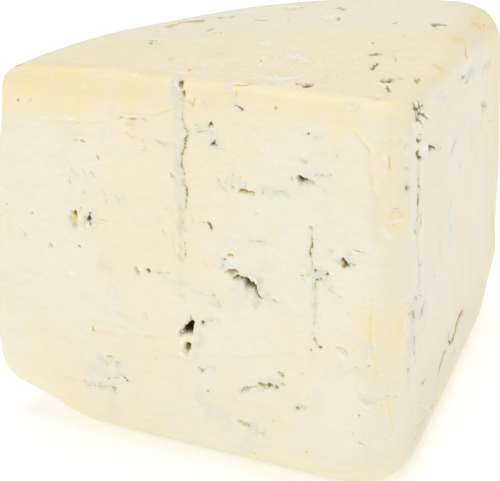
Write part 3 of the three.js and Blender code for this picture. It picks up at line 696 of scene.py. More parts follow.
    ("hair", 0.3, (62.8, 18.2, 0.2), (64, 17.2, 0.15)),
    ("vein", 0.15, (67.6, 17.7, 0.25), (66.8, 17.9, 0.15), (65.2, 18.4, 0.25)),
    ("hair", 0.2, (70.6, 22.6, 0.15), (69, 22.4, 0.2), (67.6, 21.6, 0.2), (67, 21.7, 0.15)),
    ("vein", 0.25, (74.4, 15.6, 0.15), (73.6, 14.7, 0.3), (72.8, 14.5, 0.2)),
    ("olive", 0.7, (74, 15, 0.4), (70.8, 14.9, 0.4), (66.6, 15.6, 0.4)),
    ("hair", 0.25, (72.8, 14.5, 0.15), (70.8, 14.9, 0.2), (68.6, 15.1, 0.2), (66.6, 15.6, 0.2)),
    ("vein", 0.4, (66.6, 15.4, 0.25), (65.6, 15.4, 0.2)),
    ("rust", 0.6, (66.2, 14.7, 0.35)),
    ("bloom", 0.9, (70, 22.4, 1.2), (66.6, 22.6, 1.2), (64.4, 19.4, 1)),
    ("bloom", 0.8, (73.6, 15, 0.7), (66.4, 15.2, 0.8)),
    ("bloom", 0.5, (72, 20, 2), (66, 18, 2)),
    ("bloom", 0.4, (80, 16, 1), (78, 15.4, 1.2)),
    ("bloom", 0.35, (64.4, 25, 0.6)),
    ("scratch", 0.5, (74.6, 19.4, 0.2), (74, 19.2, 0.2)),
    ("tan", 0.5, (61, 20.2, 0.6), (58.4, 20.6, 0.4)),
    # Folds of the waxy corner
    ("crease", 0.8, (5.8, 83, 0.3), (4.6, 84.4, 0.25)),
    ("wax", 1.3, (3, 71.4, 0.4), (0.6, 71, 1.1), (-0.6, 72, 0.9)),
    ("tan", 0.9, (2.2, 70, 0.25), (0.6, 69.6, 0.4), (-0.6, 70.6, 0.35), (-0.9, 72.4, 0.3)),
    ("wax", 0.8, (2.4, 69.6, 0.4), (-0.4, 68.4, 0.9)),
    ("flake", 0.8, (1.8, 70.6, 0.3), (0.2, 70.4, 0.4), (-0.8, 70.9, 0.3)),
    ("wax", 0.7, (2.6, 84, 0.5), (2.3, 81, 0.5)),
    ("hair", 0.6, (1.2, 72.9, 0.15), (0.2, 73, 0.2)),
    ("bloom", 0.5, (1.6, 73, 0.5), (0, 73, 0.5)),
    ("crease", 0.9, (3.9, 52, 0.15), (3.9, 44, 0.3), (3.4, 41, 0.3), (2.4, 37.4, 0.25), (1.6, 34, 0.2)),
    ("wax", 0.55, (1, 50, 1.5), (0.6, 42, 1.4)),
    ("wax", 0.7, (-2.4, 49.4, 0.6), (-3, 44, 0.6)),
    ("flake", 0.8, (-3.6, 49, 0.5), (-3.8, 46.6, 0.4), (-5, 44.6, 0.5)),
    ("crease", 1, (-1, 29, 0.2), (-1.6, 26, 0.3), (-2.6, 22.4, 0.35), (-3, 20.4, 0.2)),
    ("crease", 0.9, (12, 6.4, 0.3), (9.4, 7.6, 0.35), (6, 8.4, 0.2)),
    ("crease", 0.9, (2, 7.6, 0.2), (-2.4, 7.4, 0.35), (-5, 6.4, 0.2)),
    ("wax", 0.4, (22, 6.6, 1), (17, 8, 0.8)),
]

RIGHT_MARKS = [
    # The needle track behind the corner and its torn mouth
    ("track", 0.6, (9.6, 88, 1), (9.8, 78, 0.9), (10, 69, 0.9)),
    ("track", 0.4, (10, 69, 1), (10, 58, 0.9), (9.6, 46, 0.9), (8.4, 37, 0.7)),
    ("nick", 0.5, (6.4, 91.8, 0.25), (8, 91.2, 0.4), (9.8, 90.4, 0.4)),
    ("nick", 0.4, (9.2, 92.4, 0.3), (9.4, 90.4, 0.4), (9, 88.6, 0.35)),
    ("vein", 0.9, (6.8, 92.6, 0.2), (7.6, 90.4, 0.4), (8.2, 89, 0.4)),
    ("vein", 0.8, (10.6, 92.2, 0.2), (11.6, 91, 0.3), (13.4, 90.2, 0.2)),
    ("nick", 0.5, (10.6, 90.7, 0.35), (11.6, 90.4, 0.25)),
    ("nick", 0.5, (10, 89.4, 0.4), (12, 88.8, 0.35), (14, 88, 0.3), (17.6, 85.9, 0.15)),
    ("nick", 0.5, (8.6, 88.7, 0.3), (10.4, 88.2, 0.35), (12, 87, 0.3), (13.6, 85.9, 0.15)),
    ("flake", 0.9, (8, 92.3, 0.5), (11, 91.8, 0.5), (13, 90, 0.3)),
    ("pale", 0.8, (11, 87, 0.4), (14, 85.6, 0.6)),
    ("nick", 0.7, (8.6, 84.4, 0.25), (10.2, 83.6, 0.4), (12.4, 82.9, 0.15)),
    ("hair", 0.8, (10, 85, 0.15), (13, 84.2, 0.2)),
    ("pale", 0.7, (8.4, 85.6, 0.4), (12, 84.6, 0.4)),
    ("nick", 0.7, (8, 81.5, 0.35), (9.6, 80.9, 0.5), (10.4, 80, 0.4), (12.6, 78.9, 0.2)),
    ("vein", 0.6, (9, 81.4, 0.6), (10.2, 81.2, 0.5)),
    ("hair", 0.7, (15, 82.3, 0.2), (16.8, 81.6, 0.25)),
    ("pale", 0.7, (13, 80.6, 0.9), (17, 79.4, 1.2)),
    ("nick", 0.8, (18.2, 79.3, 0.35), (19.8, 78.6, 0.4), (22, 77.8, 0.3), (24, 76.8, 0.15)),
    ("vein", 0.6, (18.6, 78.4, 0.4), (20.2, 77.8, 0.4)),
    ("hair", 0.5, (23.6, 76.8, 0.2), (26.6, 75.6, 0.15), (29.8, 74.7, 0.15)),
    ("bloom", 0.7, (20, 78.6, 1), (26, 76.6, 0.9), (29.6, 75, 0.7)),
    ("flake", 0.8, (17.6, 79.6, 0.3), (17.8, 78, 0.3)),
    ("vein", 0.8, (8.9, 76.4, 0.35), (9.6, 75.4, 0.5), (10.2, 74.6, 0.3)),
    ("vein", 0.5, (9.8, 73.8, 0.35), (11, 73, 0.45), (11.6, 72.4, 0.3)),
    ("hair", 0.7, (10, 77.4, 0.2), (10.3, 74.8, 0.15), (10, 72, 0.2), (9.8, 69.8, 0.25), (9.9, 66, 0.15)),
    ("flake", 0.8, (8.1, 78, 0.3), (8.4, 74.6, 0.25), (8.2, 71.4, 0.2)),
    ("flake", 0.7, (11.6, 77.4, 0.25), (11.8, 74, 0.3)),
    ("nick", 0.6, (9.6, 70.2, 0.4), (10.2, 69.8, 0.6)),
    ("vein", 0.7, (10.2, 71.2, 0.4), (10, 69.8, 0.6)),
    ("vein", 0.55, (8.6, 66.6, 0.25), (9.6, 65.8, 0.35)),
    ("vein", 0.5, (6.8, 64.2, 0.35), (7.9, 63.8, 0.5)),
    ("olive", 1, (10, 67.4, 0.6), (12, 65.6, 0.9), (12, 63.6, 0.9)),
    ("vein", 0.4, (12.2, 64.4, 0.5), (12.4, 63.6, 0.3)),
    ("bloom", 1, (7, 66.5, 1.2), (9.5, 62.5, 1.8), (8, 60, 1)),
    ("olive", 0.9, (9.8, 58.4, 0.5), (10.6, 57, 0.6)),
    ("rust", 0.35, (10, 57.8, 0.5)),
    ("bloom", 0.9, (10.4, 56, 0.8), (11.6, 53.4, 1.4), (11, 49.4, 1.6)),
    ("hair", 0.5, (10.6, 54.6, 0.3), (12.4, 53.8, 0.3)),
    ("hair", 0.6, (10.4, 52.6, 0.2), (10.9, 52, 0.3)),
    ("vein", 0.5, (7.2, 48.4, 0.25), (8.4, 47.8, 0.3), (9.6, 46.4, 0.25)),
    ("hair", 0.7, (11, 46.9, 0.2), (12.2, 46.4, 0.3)),
    ("vein", 0.4, (4.4, 46.6, 0.3), (6, 45.4, 0.4), (6.6, 44, 0.5)),
    ("olive", 0.6, (5, 46, 0.8), (7.4, 43.6, 1)),
    ("vein", 0.6, (11.4, 41, 0.3), (12.4, 41.5, 0.35), (14.4, 42.4, 0.3), (15.6, 42.6, 0.2)),
    ("hair", 0.7, (12.8, 42.6, 0.3), (13.6, 40.8, 0.3)),
    ("vein", 0.5, (6.8, 38.6, 0.3), (7, 36, 0.4), (7.2, 33.4, 0.35), (7.6, 31.6, 0.25)),
    ("bloom", 1, (6, 47, 2), (7, 42, 2.2), (6, 37, 1.6)),
    ("bloom", 0.6, (12, 44, 3), (16, 40, 3.5), (12, 35, 3)),
    ("bloom", 0.7, (2, 41, 0.8), (2.6, 36, 1.2), (2, 29, 0.9)),
    ("hair", 0.5, (1.8, 38.8, 0.3), (2.2, 38.2, 0.25)),
    ("vein", 0.5, (1.8, 33.4, 0.25), (2.2, 32.7, 0.3)),
    ("vein", 0.35, (2.4, 47, 0.3), (2.9, 46.3, 0.3)),
    ("rust", 0.5, (1.2, 50, 0.3), (1.7, 49.8, 0.25)),
    # Beside the corner
    ("vein", 0.35, (1.8, 76.6, 0.4), (2.6, 76.1, 0.45)),
    ("bloom", 0.4, (1.6, 77.4, 0.6), (3, 75.8, 0.8)),
    ("dent", 0.6, (1.2, 81.2, 0.5), (2, 80.8, 0.5)),
    ("rust", 0.4, (1.2, 81, 0.4), (1.8, 80.7, 0.3)),
    ("olive", 0.9, (-1, 85.8, 0.4), (0.4, 86, 0.6), (1.2, 85.7, 0.4)),
    ("pale", 0.7, (0.8, 84.2, 0.6)),
    # The face beyond
    ("bloom", 0.8, (38.6, 60, 0.6), (38.8, 56, 0.9), (38, 52.6, 0.6)),
    ("bloom", 0.5, (44, 50, 2.5), (38, 47.6, 2.5)),
    ("bloom", 0.35, (24, 48, 3), (30, 49, 3)),
    ("hair", 0.4, (24, 45.2, 0.2), (25.4, 44.8, 0.2)),
    ("olive", 0.4, (17.4, 48.2, 0.5), (18.2, 47.9, 0.3)),
    ("olive", 0.4, (35.6, 45.7, 0.7)),
    ("crease", 0.5, (13.6, 75.2, 0.25), (15.4, 74.2, 0.2)),
    ("crease", 0.6, (21.8, 73.8, 0.25), (24, 72.9, 0.2)),
    ("rust", 0.3, (25.2, 67.8, 0.3), (26.4, 67.2, 0.2)),
    ("bloom", 0.9, (26, 88.8, 0.8), (29, 87, 1), (33.6, 85.2, 0.9)),
    ("bloom", 1, (48, 84.6, 0.8), (54, 83.8, 1.2), (62, 83.4, 1.2)),
    ("vein", 0.5, (49, 85, 0.3), (51.4, 84.6, 0.5)),
    ("olive", 0.7, (54, 83.4, 0.4), (58, 83.6, 0.8), (62, 83.6, 0.4)),
    ("rust", 0.5, (52, 82.6, 0.4), (55, 82.4, 0.5)),
    ("bloom", 0.5, (67, 82, 1.4), (71, 83.4, 1.6)),
    ("olive", 1, (73, 80, 1), (77, 79, 1.1), (81, 78.6, 0.8)),
    ("bloom", 0.7, (72, 80.6, 1.4), (82, 78.8, 1.6)),
    ("olive", 0.6, (71.6, 71.2, 0.8), (75, 69.6, 1.1), (78, 68.4, 0.7)),
    ("vein", 0.4, (71.8, 70.8, 0.4), (74.6, 69.6, 0.6), (77, 68.8, 0.3)),
    ("bloom", 0.7, (71, 71.4, 1.2), (79, 68.2, 1.6)),
    ("bloom", 0.9, (38.4, 70.4, 0.9), (42, 71.2, 1.2), (46, 71, 0.7)),
    ("hair", 0.4, (39.6, 70, 0.3), (43.6, 71.2, 0.4)),
    ("bloom", 0.5, (48, 63, 0.9), (51.6, 63.2, 0.7)),
    ("hair", 0.5, (48.4, 63, 0.25), (50.2, 63, 0.3)),
    ("olive", 0.6, (82, 62.8, 0.6), (86, 61.8, 0.6)),
    ("rust", 0.3, (81.6, 63, 0.3), (84, 62.2, 0.3)),
    ("bloom", 0.6, (77, 50, 1.4), (82, 48.4, 1.6)),
    ("bloom", 0.4, (88, 45, 1.6), (92, 43, 1.4)),
    ("rust", 0.25, (39.6, 57.2, 0.4), (41.4, 56.8, 0.4)),
    ("olive", 0.35, (53, 44, 1), (59, 43, 1)),
    ("bloom", 0.4, (60, 70, 3), (66, 60, 4)),
    ("bloom", 0.8, (61, 31, 0.9), (64, 33, 1), (67, 36, 0.6)),
    ("bloom", 0.6, (62, 30.4, 0.8), (70, 28.6, 1)),
    # The dark crack low on the face
    ("tan", 0.8, (46, 18, 1.2), (52, 19.6, 1.2), (57, 19.4, 0.8)),
    ("olive", 0.7, (44, 18.6, 1), (52, 18.8, 0.9), (58, 19, 0.6)),
    ("rust", 0.4, (46, 12.2, 0.5), (47.4, 12.6, 0.3)),
    ("dent", 0.5, (12.6, 23.6, 0.4), (14, 22.4, 0.5), (17, 21.8, 0.4)),
    ("vein", 0.4, (13, 23.2, 0.3), (14.4, 22.2, 0.4), (17, 21.8, 0.25)),
    ("bloom", 0.6, (15, 25.4, 1), (19.6, 24.4, 1.2), (20, 22, 1)),
    ("olive", 0.7, (12, 28, 0.5), (13.8, 27, 0.5)),
    ("olive", 0.8, (23.6, 21.6, 0.6), (24.4, 21.2, 0.5)),
    ("olive", 0.4, (3, 21.6, 0.5), (4, 20.4, 0.4)),
    # Where it is smeared towards the base
    ("crease", 1, (7.4, 14.8, 0.3), (11, 13, 0.35), (17.4, 11.2, 0.25)),
    ("rust", 0.5, (5, 13.2, 0.2), (6.8, 12, 0.3), (8.2, 10.6, 0.2)),
    ("flake", 0.6, (11.4, 18.4, 0.3), (14.4, 16, 0.4), (17.4, 13, 0.3)),
    ("crease", 0.8, (1.6, 19.8, 0.2), (3, 17.4, 0.25), (4.2, 14.8, 0.2)),
    ("wax", 0.7, (19.6, 11.6, 0.5), (25, 9.6, 0.7), (30, 9.6, 0.5)),
    ("rust", 0.3, (21, 11, 0.4), (24, 10.2, 0.4)),
    ("wax", 0.5, (33, 9, 1), (44, 8, 1.2)),
    # Waxy chips along the upper edge
    ("wax", 0.6, (30, 91.6, 0.4), (33, 90.8, 0.3)),
    ("wax", 0.7, (52, 90, 0.5), (54, 88.8, 0.6), (58, 88.2, 1.2)),
    ("rust", 0.3, (52.4, 89.6, 0.3), (54.4, 88.4, 0.3)),
    ("wax", 1, (65, 94, 0.5), (67, 93.2, 0.6)),
    ("rust", 0.5, (65.4, 93.8, 0.3), (66.6, 93.2, 0.25)),
    ("wax", 1, (70.6, 91.4, 0.6), (75, 91.2, 0.8)),
    ("rust", 0.9, (71.8, 91.3, 0.35), (73.4, 91, 0.3)),
    ("wax", 0.7, (50, 92, 1.2), (76, 92.6, 1.4)),
    ("wax", 0.5, (80, 90, 1.4), (86, 86, 1.6)),
]

# On the top: (to the right of the middle, back from the corner, half width)
TOP_MARKS = [
    ("dent", 1, (-28.4, 68, 1.5)),
    ("pale", 1, (-28.3, 67.9, 1.1)),
    ("tan", 0.9, (-22, 78.4, 1.2), (-18, 80.6, 1), (-12, 80.4, 1.2)),
    ("dent", 1, (-5.2, 81.2, 1.2)),
    ("bloom", 1, (-5.2, 81.2, 1)),
    ("tan", 1, (-14.1, 70.4, 0.9), (-13.4, 71.6, 0.8)),
    ("hair", 0.6, (-14.1, 70.6, 0.6), (-13.4, 71.4, 0.5)),
    ("olive", 0.7, (-14.1, 70.6, 1), (-13.2, 72, 0.8)),
    ("olive", 0.5, (-7, 71.2, 0.5), (-5.8, 72, 0.4)),
    ("olive", 0.5, (-4, 71.2, 0.3), (-3.7, 72, 0.25)),
    ("rust", 0.45, (-0.4, 75.4, 0.5), (1.8, 73.6, 0.7)),
    ("hair", 0.6, (7, 71.2, 0.3), (7.6, 72, 0.25)),
    ("hair", 0.4, (5.4, 74.6, 0.2), (6.2, 75.8, 0.2)),
    ("dent", 1.2, (13, 81.6, 1.2), (13.4, 83, 0.8)),
    ("bloom", 1, (13, 82, 1.6)),
    ("hair", 0.7, (15.7, 81.6, 0.5)),
    ("vein", 0.45, (23.6, 77.4, 0.7), (24.6, 77.6, 0.6), (24.6, 74.4, 0.3)),
    ("olive", 0.8, (24, 77.4, 1), (24.6, 74, 0.5)),
    ("olive", 0.4, (28.8, 71.6, 0.8), (28.2, 69.4, 0.9)),
    ("dent", 1.1, (17.2, 67.6, 1.8)),
    ("hair", 0.7, (15.2, 68.6, 0.3), (15.4, 66, 0.4), (17.4, 65.6, 0.4), (19.2, 66.4, 0.4), (19.4, 68.6, 0.3)),
    ("olive", 0.3, (23.4, 64.6, 1)),
    ("hair", 0.7, (37.2, 52, 0.5), (37, 51, 0.5)),
    ("rust", 0.35, (29.4, 57.6, 0.7), (30.4, 58, 0.6)),
    ("wax", 0.8, (-20.6, 50.6, 2), (-16, 52.6, 1.8)),
    ("tan", 0.4, (-18, 52, 1.8), (-14.6, 53, 1.6)),
    ("wax", 0.5, (-43.2, 44.8, 0.6)),
    ("olive", 0.5, (-43.2, 44.6, 0.35)),
    ("pale", 0.8, (-12, 42.6, 0.5), (-10.8, 44.4, 0.5)),
    ("hair", 0.7, (-13.4, 41, 0.25), (-12.6, 42.4, 0.2)),
    ("pale", 0.8, (5.4, 48, 0.4), (6.4, 49.4, 0.4)),
    ("hair", 0.4, (5, 48, 0.25), (6.6, 49, 0.2)),
    ("rust", 0.5, (16, 43.4, 0.4), (16.6, 44.8, 0.35)),
    ("hair", 0.6, (25.6, 45.8, 0.25), (26.2, 46.8, 0.2)),
    ("tan", 0.4, (12.4, 40.4, 0.6), (13, 41.6, 0.4)),
    ("rust", 0.5, (12.8, 36, 0.5), (13.2, 36.6, 0.35)),
    ("bloom", 0.8, (10.6, 35.1, 0.8), (11.6, 36, 0.6)),
    ("crease", 0.9, (18.4, 38, 0.35), (16.6, 34.6, 0.3), (15.4, 32, 0.25)),
    ("hair", 0.7, (15.6, 32.2, 0.25), (14.2, 29.4, 0.35)),
    ("bloom", 0.8, (9.6, 29.4, 0.9)),
    ("olive", 0.6, (10.8, 26.6, 0.5), (11.6, 27.6, 0.4)),
    ("rust", 0.6, (-25, 28.8, 0.3), (-23.4, 28, 0.3), (-22.2, 27.4, 0.35)),
    ("hair", 0.8, (-22, 28.8, 0.4), (-21, 28, 0.4)),
    ("nick", 0.4, (-18.8, 25.2, 0.25)),
    ("tan", 0.7, (-18, 27.4, 0.4), (-17.4, 26, 0.4)),
    ("bloom", 0.9, (5.4, 17.6, 1.3)),
    ("nick", 0.5, (4, 14.8, 0.25), (3.4, 13.2, 0.35), (2.8, 11.4, 0.25)),
    ("pale", 0.9, (3.6, 15.4, 0.7), (3, 16.4, 0.5)),
    ("olive", 0.9, (8.6, 17.4, 0.4), (8.8, 18.6, 0.4)),
    ("hair", 0.6, (8.6, 17.6, 0.3), (8.9, 18.6, 0.25)),
    ("vein", 0.7, (10.8, 14.8, 0.4), (11.6, 15.8, 0.6), (12, 16.6, 0.4)),
    ("rust", 0.7, (11.2, 15.2, 0.35), (12.6, 16.2, 0.35)),
    ("dent", 0.7, (-1.5, 8.4, 0.4), (-0.9, 9.8, 0.5)),
    ("hair", 0.4, (-1.4, 8.6, 0.3), (-1, 9.6, 0.3)),
    ("dent", 0.6, (-7.8, 8, 0.7), (-7.2, 7.6, 0.5)),
    ("bloom", 0.6, (-7.6, 8.2, 0.9), (-8.6, 10, 0.6)),
    ("olive", 0.5, (-11.4, 16.4, 0.4)),
    ("olive", 0.5, (-2.8, 24.4, 0.5), (-2, 25.6, 0.5)),
    ("hair", 0.3, (-5.5, 24.2, 0.2), (-5.2, 24.8, 0.2)),
    ("rust", 0.2, (-25.5, 37.8, 0.5)),
    ("crease", 0.6, (-6.8, 37.4, 0.25), (-6, 40, 0.25), (-4.4, 44, 0.2)),
    ("wax", 0.6, (-52, 55, 1.4), (-44, 47.6, 1.2), (-38, 41, 1)),
    ("wax", 0.6, (-31, 32, 1.4), (-16, 17.6, 1.4), (-6, 7, 1.2)),
    ("wax", 0.4, (20.6, 23.4, 1.6), (24, 23.4, 1.2)),
    ("wax", 0.5, (35, 38.6, 0.9), (40, 39.4, 0.8)),
]

# Marks whose places are read in the photo, by part of the face: kind, strength and the path, as (pixels across the
# photo, pixels down it, half width in millimetres)
LEFT_SEEN = {
    "the long needle track under the front edge": [
        ("cavity", 0.6, (180, 87.5, 0.55), (179, 86, 0.5)),
        ("cavity", 0.5, (182, 93, 0.35), (183.3, 96.5, 0.4)),
        ("flake", 0.8, (175.4, 79.5, 0.2), (175.2, 84, 0.22), (177, 89.5, 0.2), (180, 92.5, 0.12)),
        ("olive", 0.6, (180, 81.5, 0.8), (178, 80.3, 0.5)),
        ("scratch", 1, (179, 99.5, 0.2), (183, 101, 0.25), (188, 101, 0.2), (193, 105, 0.3)),
        ("scratch", 0.9, (193, 105, 0.35), (195, 98, 0.25)),
        ("scratch", 0.7, (203, 102, 0.2), (204.6, 107, 0.2)),
        ("hair", 0.7, (182.6, 102.4, 0.12), (182.8, 113, 0.18), (182.3, 119.4, 0.15)),
        ("vein", 0.9, (181.9, 119.5, 0.15), (184.4, 124.6, 0.2)),
        ("vein", 1, (185, 128, 0.2), (187.8, 131.3, 0.27)),
        ("vein", 0.95, (187.8, 131.3, 0.22), (187.3, 135, 0.15), (185.2, 139.5, 0.27), (184.8, 145, 0.22), (184.6, 148.5, 0.22)),
        ("vein", 0.9, (184.6, 148.5, 0.22), (182.3, 151.5, 0.2), (181.9, 155, 0.22)),
        ("vein", 0.6, (181.8, 155.5, 0.12), (181.3, 161.3, 0.15), (181, 166, 0.2)),
        ("vein", 0.95, (181, 166, 0.15), (183.1, 169.4, 0.22), (184, 175, 0.22), (184.4, 180, 0.22), (182.5, 182.5, 0.22)),
        ("vein", 0.9, (182.5, 182.5, 0.22), (185.6, 186.3, 0.2), (186.6, 190.5, 0.18)),
        ("vein", 1, (186.6, 190.5, 0.15), (187.1, 196.3, 0.27), (186, 200, 0.15)),
        ("vein", 0.7, (186, 200, 0.12), (185.4, 207.5, 0.2)),
        ("vein", 0.4, (184, 210, 0.12), (182.6, 218, 0.2), (182.8, 228, 0.15)),
    ],
    "beside it, near the top": [
        ("hair", 1, (196, 125, 0.12), (198, 131.6, 0.15), (203, 131.2, 0.18), (208, 129.6, 0.12), (209, 125, 0.15)),
        ("hole", 0.5, (210.4, 123.8, 0.32), (209.2, 126.2, 0.15)),
        ("scratch", 1, (211, 129.5, 0.2), (212.6, 134, 0.2)),
        ("tan", 0.8, (206, 121.6, 0.4), (209, 120, 0.3)),
        ("scratch", 0.8, (210.8, 139.8, 0.15)),
        ("nick", 0.9, (207.8, 222.9, 0.1), (209.2, 224.6, 0.2), (210.5, 226.5, 0.12), (211, 228.3, 0.24), (211.8, 230, 0.1)),
        ("rust", 0.7, (207.8, 222.9, 0.1), (209.2, 224.6, 0.2), (210.5, 226.5, 0.15), (211.8, 229.6, 0.2)),
        ("pale", 0.8, (207.2, 224.8, 0.25), (209.2, 228.6, 0.3)),
        ("hole", 0.4, (215.4, 141.4, 0.25), (213.2, 143.8, 0.36), (210.6, 145.2, 0.15)),
        ("nick", 0.4, (214, 143.4, 0.25), (217.2, 146.2, 0.15)),
    ],
    "the slit and the lumps at the upper left": [
        ("pip", 0.9, (119, 117.3, 0.2), (122.4, 117.2, 0.3)),
        ("rust", 0.5, (121.6, 117.2, 0.2)),
        ("scratch", 0.6, (116, 119.6, 0.15), (119, 118.4, 0.2)),
        ("rust", 0.6, (127.6, 119, 0.15), (132, 119.4, 0.35), (135.6, 119.6, 0.2)),
        ("hair", 0.6, (128.3, 118.3, 0.15), (133, 118.4, 0.3), (139, 117.8, 0.15), (146, 120, 0.15), (151, 123.5, 0.12)),
        ("flake", 0.5, (116, 120, 0.2), (124, 119.6, 0.2), (131, 120.8, 0.2)),
        ("wax", 0.7, (127, 127, 0.7), (133, 130, 0.6)),
    ],
    "the pair of pits at the left": [
        ("brown_hole", 0.7, (75, 211.8, 0.28), (75.6, 215.6, 0.42)),
        ("tan", 0.8, (69.5, 214.5, 0.3), (72, 219, 0.6), (75, 225, 0.5), (78.4, 233, 0.2)),
        ("rust", 0.9, (75.2, 214.4, 0.2), (76, 217.2, 0.25)),
        ("scratch", 1.1, (70.6, 218.4, 0.4), (73.4, 220.4, 0.35)),
        ("scratch", 1.1, (73, 225.6, 0.4), (77, 225, 0.35)),
        ("scratch", 0.7, (73, 225, 0.25), (77, 225, 0.25)),
        ("dent", 0.9, (71.6, 217.6, 0.9), (75.6, 227.8, 0.4)),
        ("hole", 1.5, (88.2, 217.4, 0.28), (88.8, 219.4, 0.5), (89.6, 221.4, 0.3)),
        ("nick", 0.7, (90, 213.4, 0.1), (89.4, 217, 0.16)),
        ("nick", 0.7, (90, 222.4, 0.14), (90.3, 224.8, 0.14)),
        ("rust", 0.8, (70.4, 210.7, 0.12), (73.4, 212.2, 0.2), (75, 211.8, 0.3), (75.6, 215.6, 0.4)),
        ("scratch", 1.1, (85.2, 216.6, 0.25), (84.4, 222, 0.25), (85.2, 229.6, 0.15)),
        ("rust", 0.7, (85.4, 217, 0.25), (84.8, 220.4, 0.2)),
        ("rust", 0.6, (80.7, 207.9, 0.22)),
    ],
    "the cavity in the middle": [
        ("cavity", 1.3, (248.6, 287.2, 0.7), (253.5, 286.3, 0.8), (254.8, 288.6, 0.5)),
        ("hole", 1, (250.2, 286, 0.42), (254.6, 286.2, 0.5)),
        ("nick", 1, (255, 289.6, 0.2), (257, 293, 0.2), (259, 297.4, 0.22)),
        ("nick", 0.6, (259, 297.4, 0.22), (261.4, 298.6, 0.15)),
        ("hair", 0.4, (262, 298.6, 0.12), (270, 300, 0.12), (276, 301.4, 0.15)),
        ("hair", 0.6, (257.6, 301, 0.15), (257, 305, 0.15), (254.6, 308.4, 0.12)),
    ],
    "the slit and its grey tail, above the middle": [
        ("brown_hole", 0.3, (240.2, 191.6, 0.3), (246.4, 192.2, 0.35), (253.6, 193.4, 0.25)),
        ("rust", 0.8, (239.8, 191.4, 0.3), (246.4, 192.2, 0.4), (255, 193.8, 0.25)),
        ("nick", 0.9, (243.6, 190.6, 0.28), (246.4, 191.6, 0.25)),
        ("hair", 0.7, (245.5, 186, 0.15), (244.4, 188.6, 0.12)),
    ],
    "the dark three-cornered pit": [
        ("hole", 1.3, (299.9, 177.2, 0.27), (301.8, 179.5, 0.54), (305.6, 180, 0.3)),
        ("vein", 0.6, (305.6, 179.9, 0.35), (310, 180.9, 0.25), (313.6, 182.4, 0.12)),
        ("nick", 0.5, (307.4, 133.6, 0.15), (308.6, 134, 0.18)),
        ("hair", 0.6, (308, 134.4, 0.12), (314, 137, 0.15), (320, 138, 0.12)),
        ("flake", 0.7, (299.4, 137.6, 0.15), (311, 135, 0.15), (316, 136.2, 0.18), (321, 137.2, 0.12)),
        ("flake", 0.8, (298, 152.4, 0.15), (306, 153, 0.15), (313, 154.8, 0.15), (321, 155, 0.15), (328, 154, 0.12)),
        ("vein", 0.7, (301, 159, 0.2), (306, 161.6, 0.22)),
    ],
    "the second needle track and the veins that cross it": [
        ("nick", 0.6, (315, 271.4, 0.25)),
        ("hair", 0.8, (315, 271, 0.15), (319, 269.6, 0.15), (326, 271.4, 0.12), (327, 274, 0.15)),
        ("nick", 0.6, (327, 274.6, 0.22)),
        ("nick", 0.8, (316.2, 280, 0.22)),
        ("hair", 0.8, (322, 281, 0.12), (327, 288, 0.12), (333, 292.6, 0.12), (338, 293.6, 0.12), (341, 297.6, 0.18)),
    ],
    "the pit near the corner": [
        ("hole", 0.8, (343.2, 261.8, 0.35), (345.4, 265.4, 0.45)),
    ],
    "the big pit low in the middle and the brown one under it": [
        ("hole", 1.1, (192.8, 322.6, 0.3), (191, 326, 0.75), (187.6, 329.6, 0.95), (184.4, 331.6, 0.7)),
        ("brown_hole", 0.5, (181.6, 334.6, 0.35), (186, 333, 0.6), (189.4, 332.6, 0.5)),
        ("brown_hole", 1.1, (189.2, 345, 0.45), (187.2, 347.6, 0.6)),
        ("brown_hole", 0.3, (186, 349.6, 0.5), (187.5, 353.6, 0.3)),
    ],
    "folds of the waxy corner": [
        ("crease", 1.1, (355, 132, 0.15), (362, 141, 0.25), (369, 150, 0.25), (370, 164, 0.2)),
        ("crease", 1, (370, 164, 0.2), (373, 190, 0.25), (381, 208, 0.15)),
        ("crease", 0.8, (362, 138, 0.12), (368, 149, 0.2), (373, 162, 0.15)),
        ("scratch", 0.9, (389, 154, 0.2), (389.5, 168, 0.25)),
        ("tan", 0.7, (385, 214, 0.3), (391, 217, 0.5), (396, 210, 0.4)),
        ("wax", 1, (384, 214, 0.8), (394, 217, 1)),
        ("pale", 0.3, (381, 230, 0.6), (391, 238, 0.7)),
        ("pale", 0.3, (385, 160, 0.8)),
    ],
}
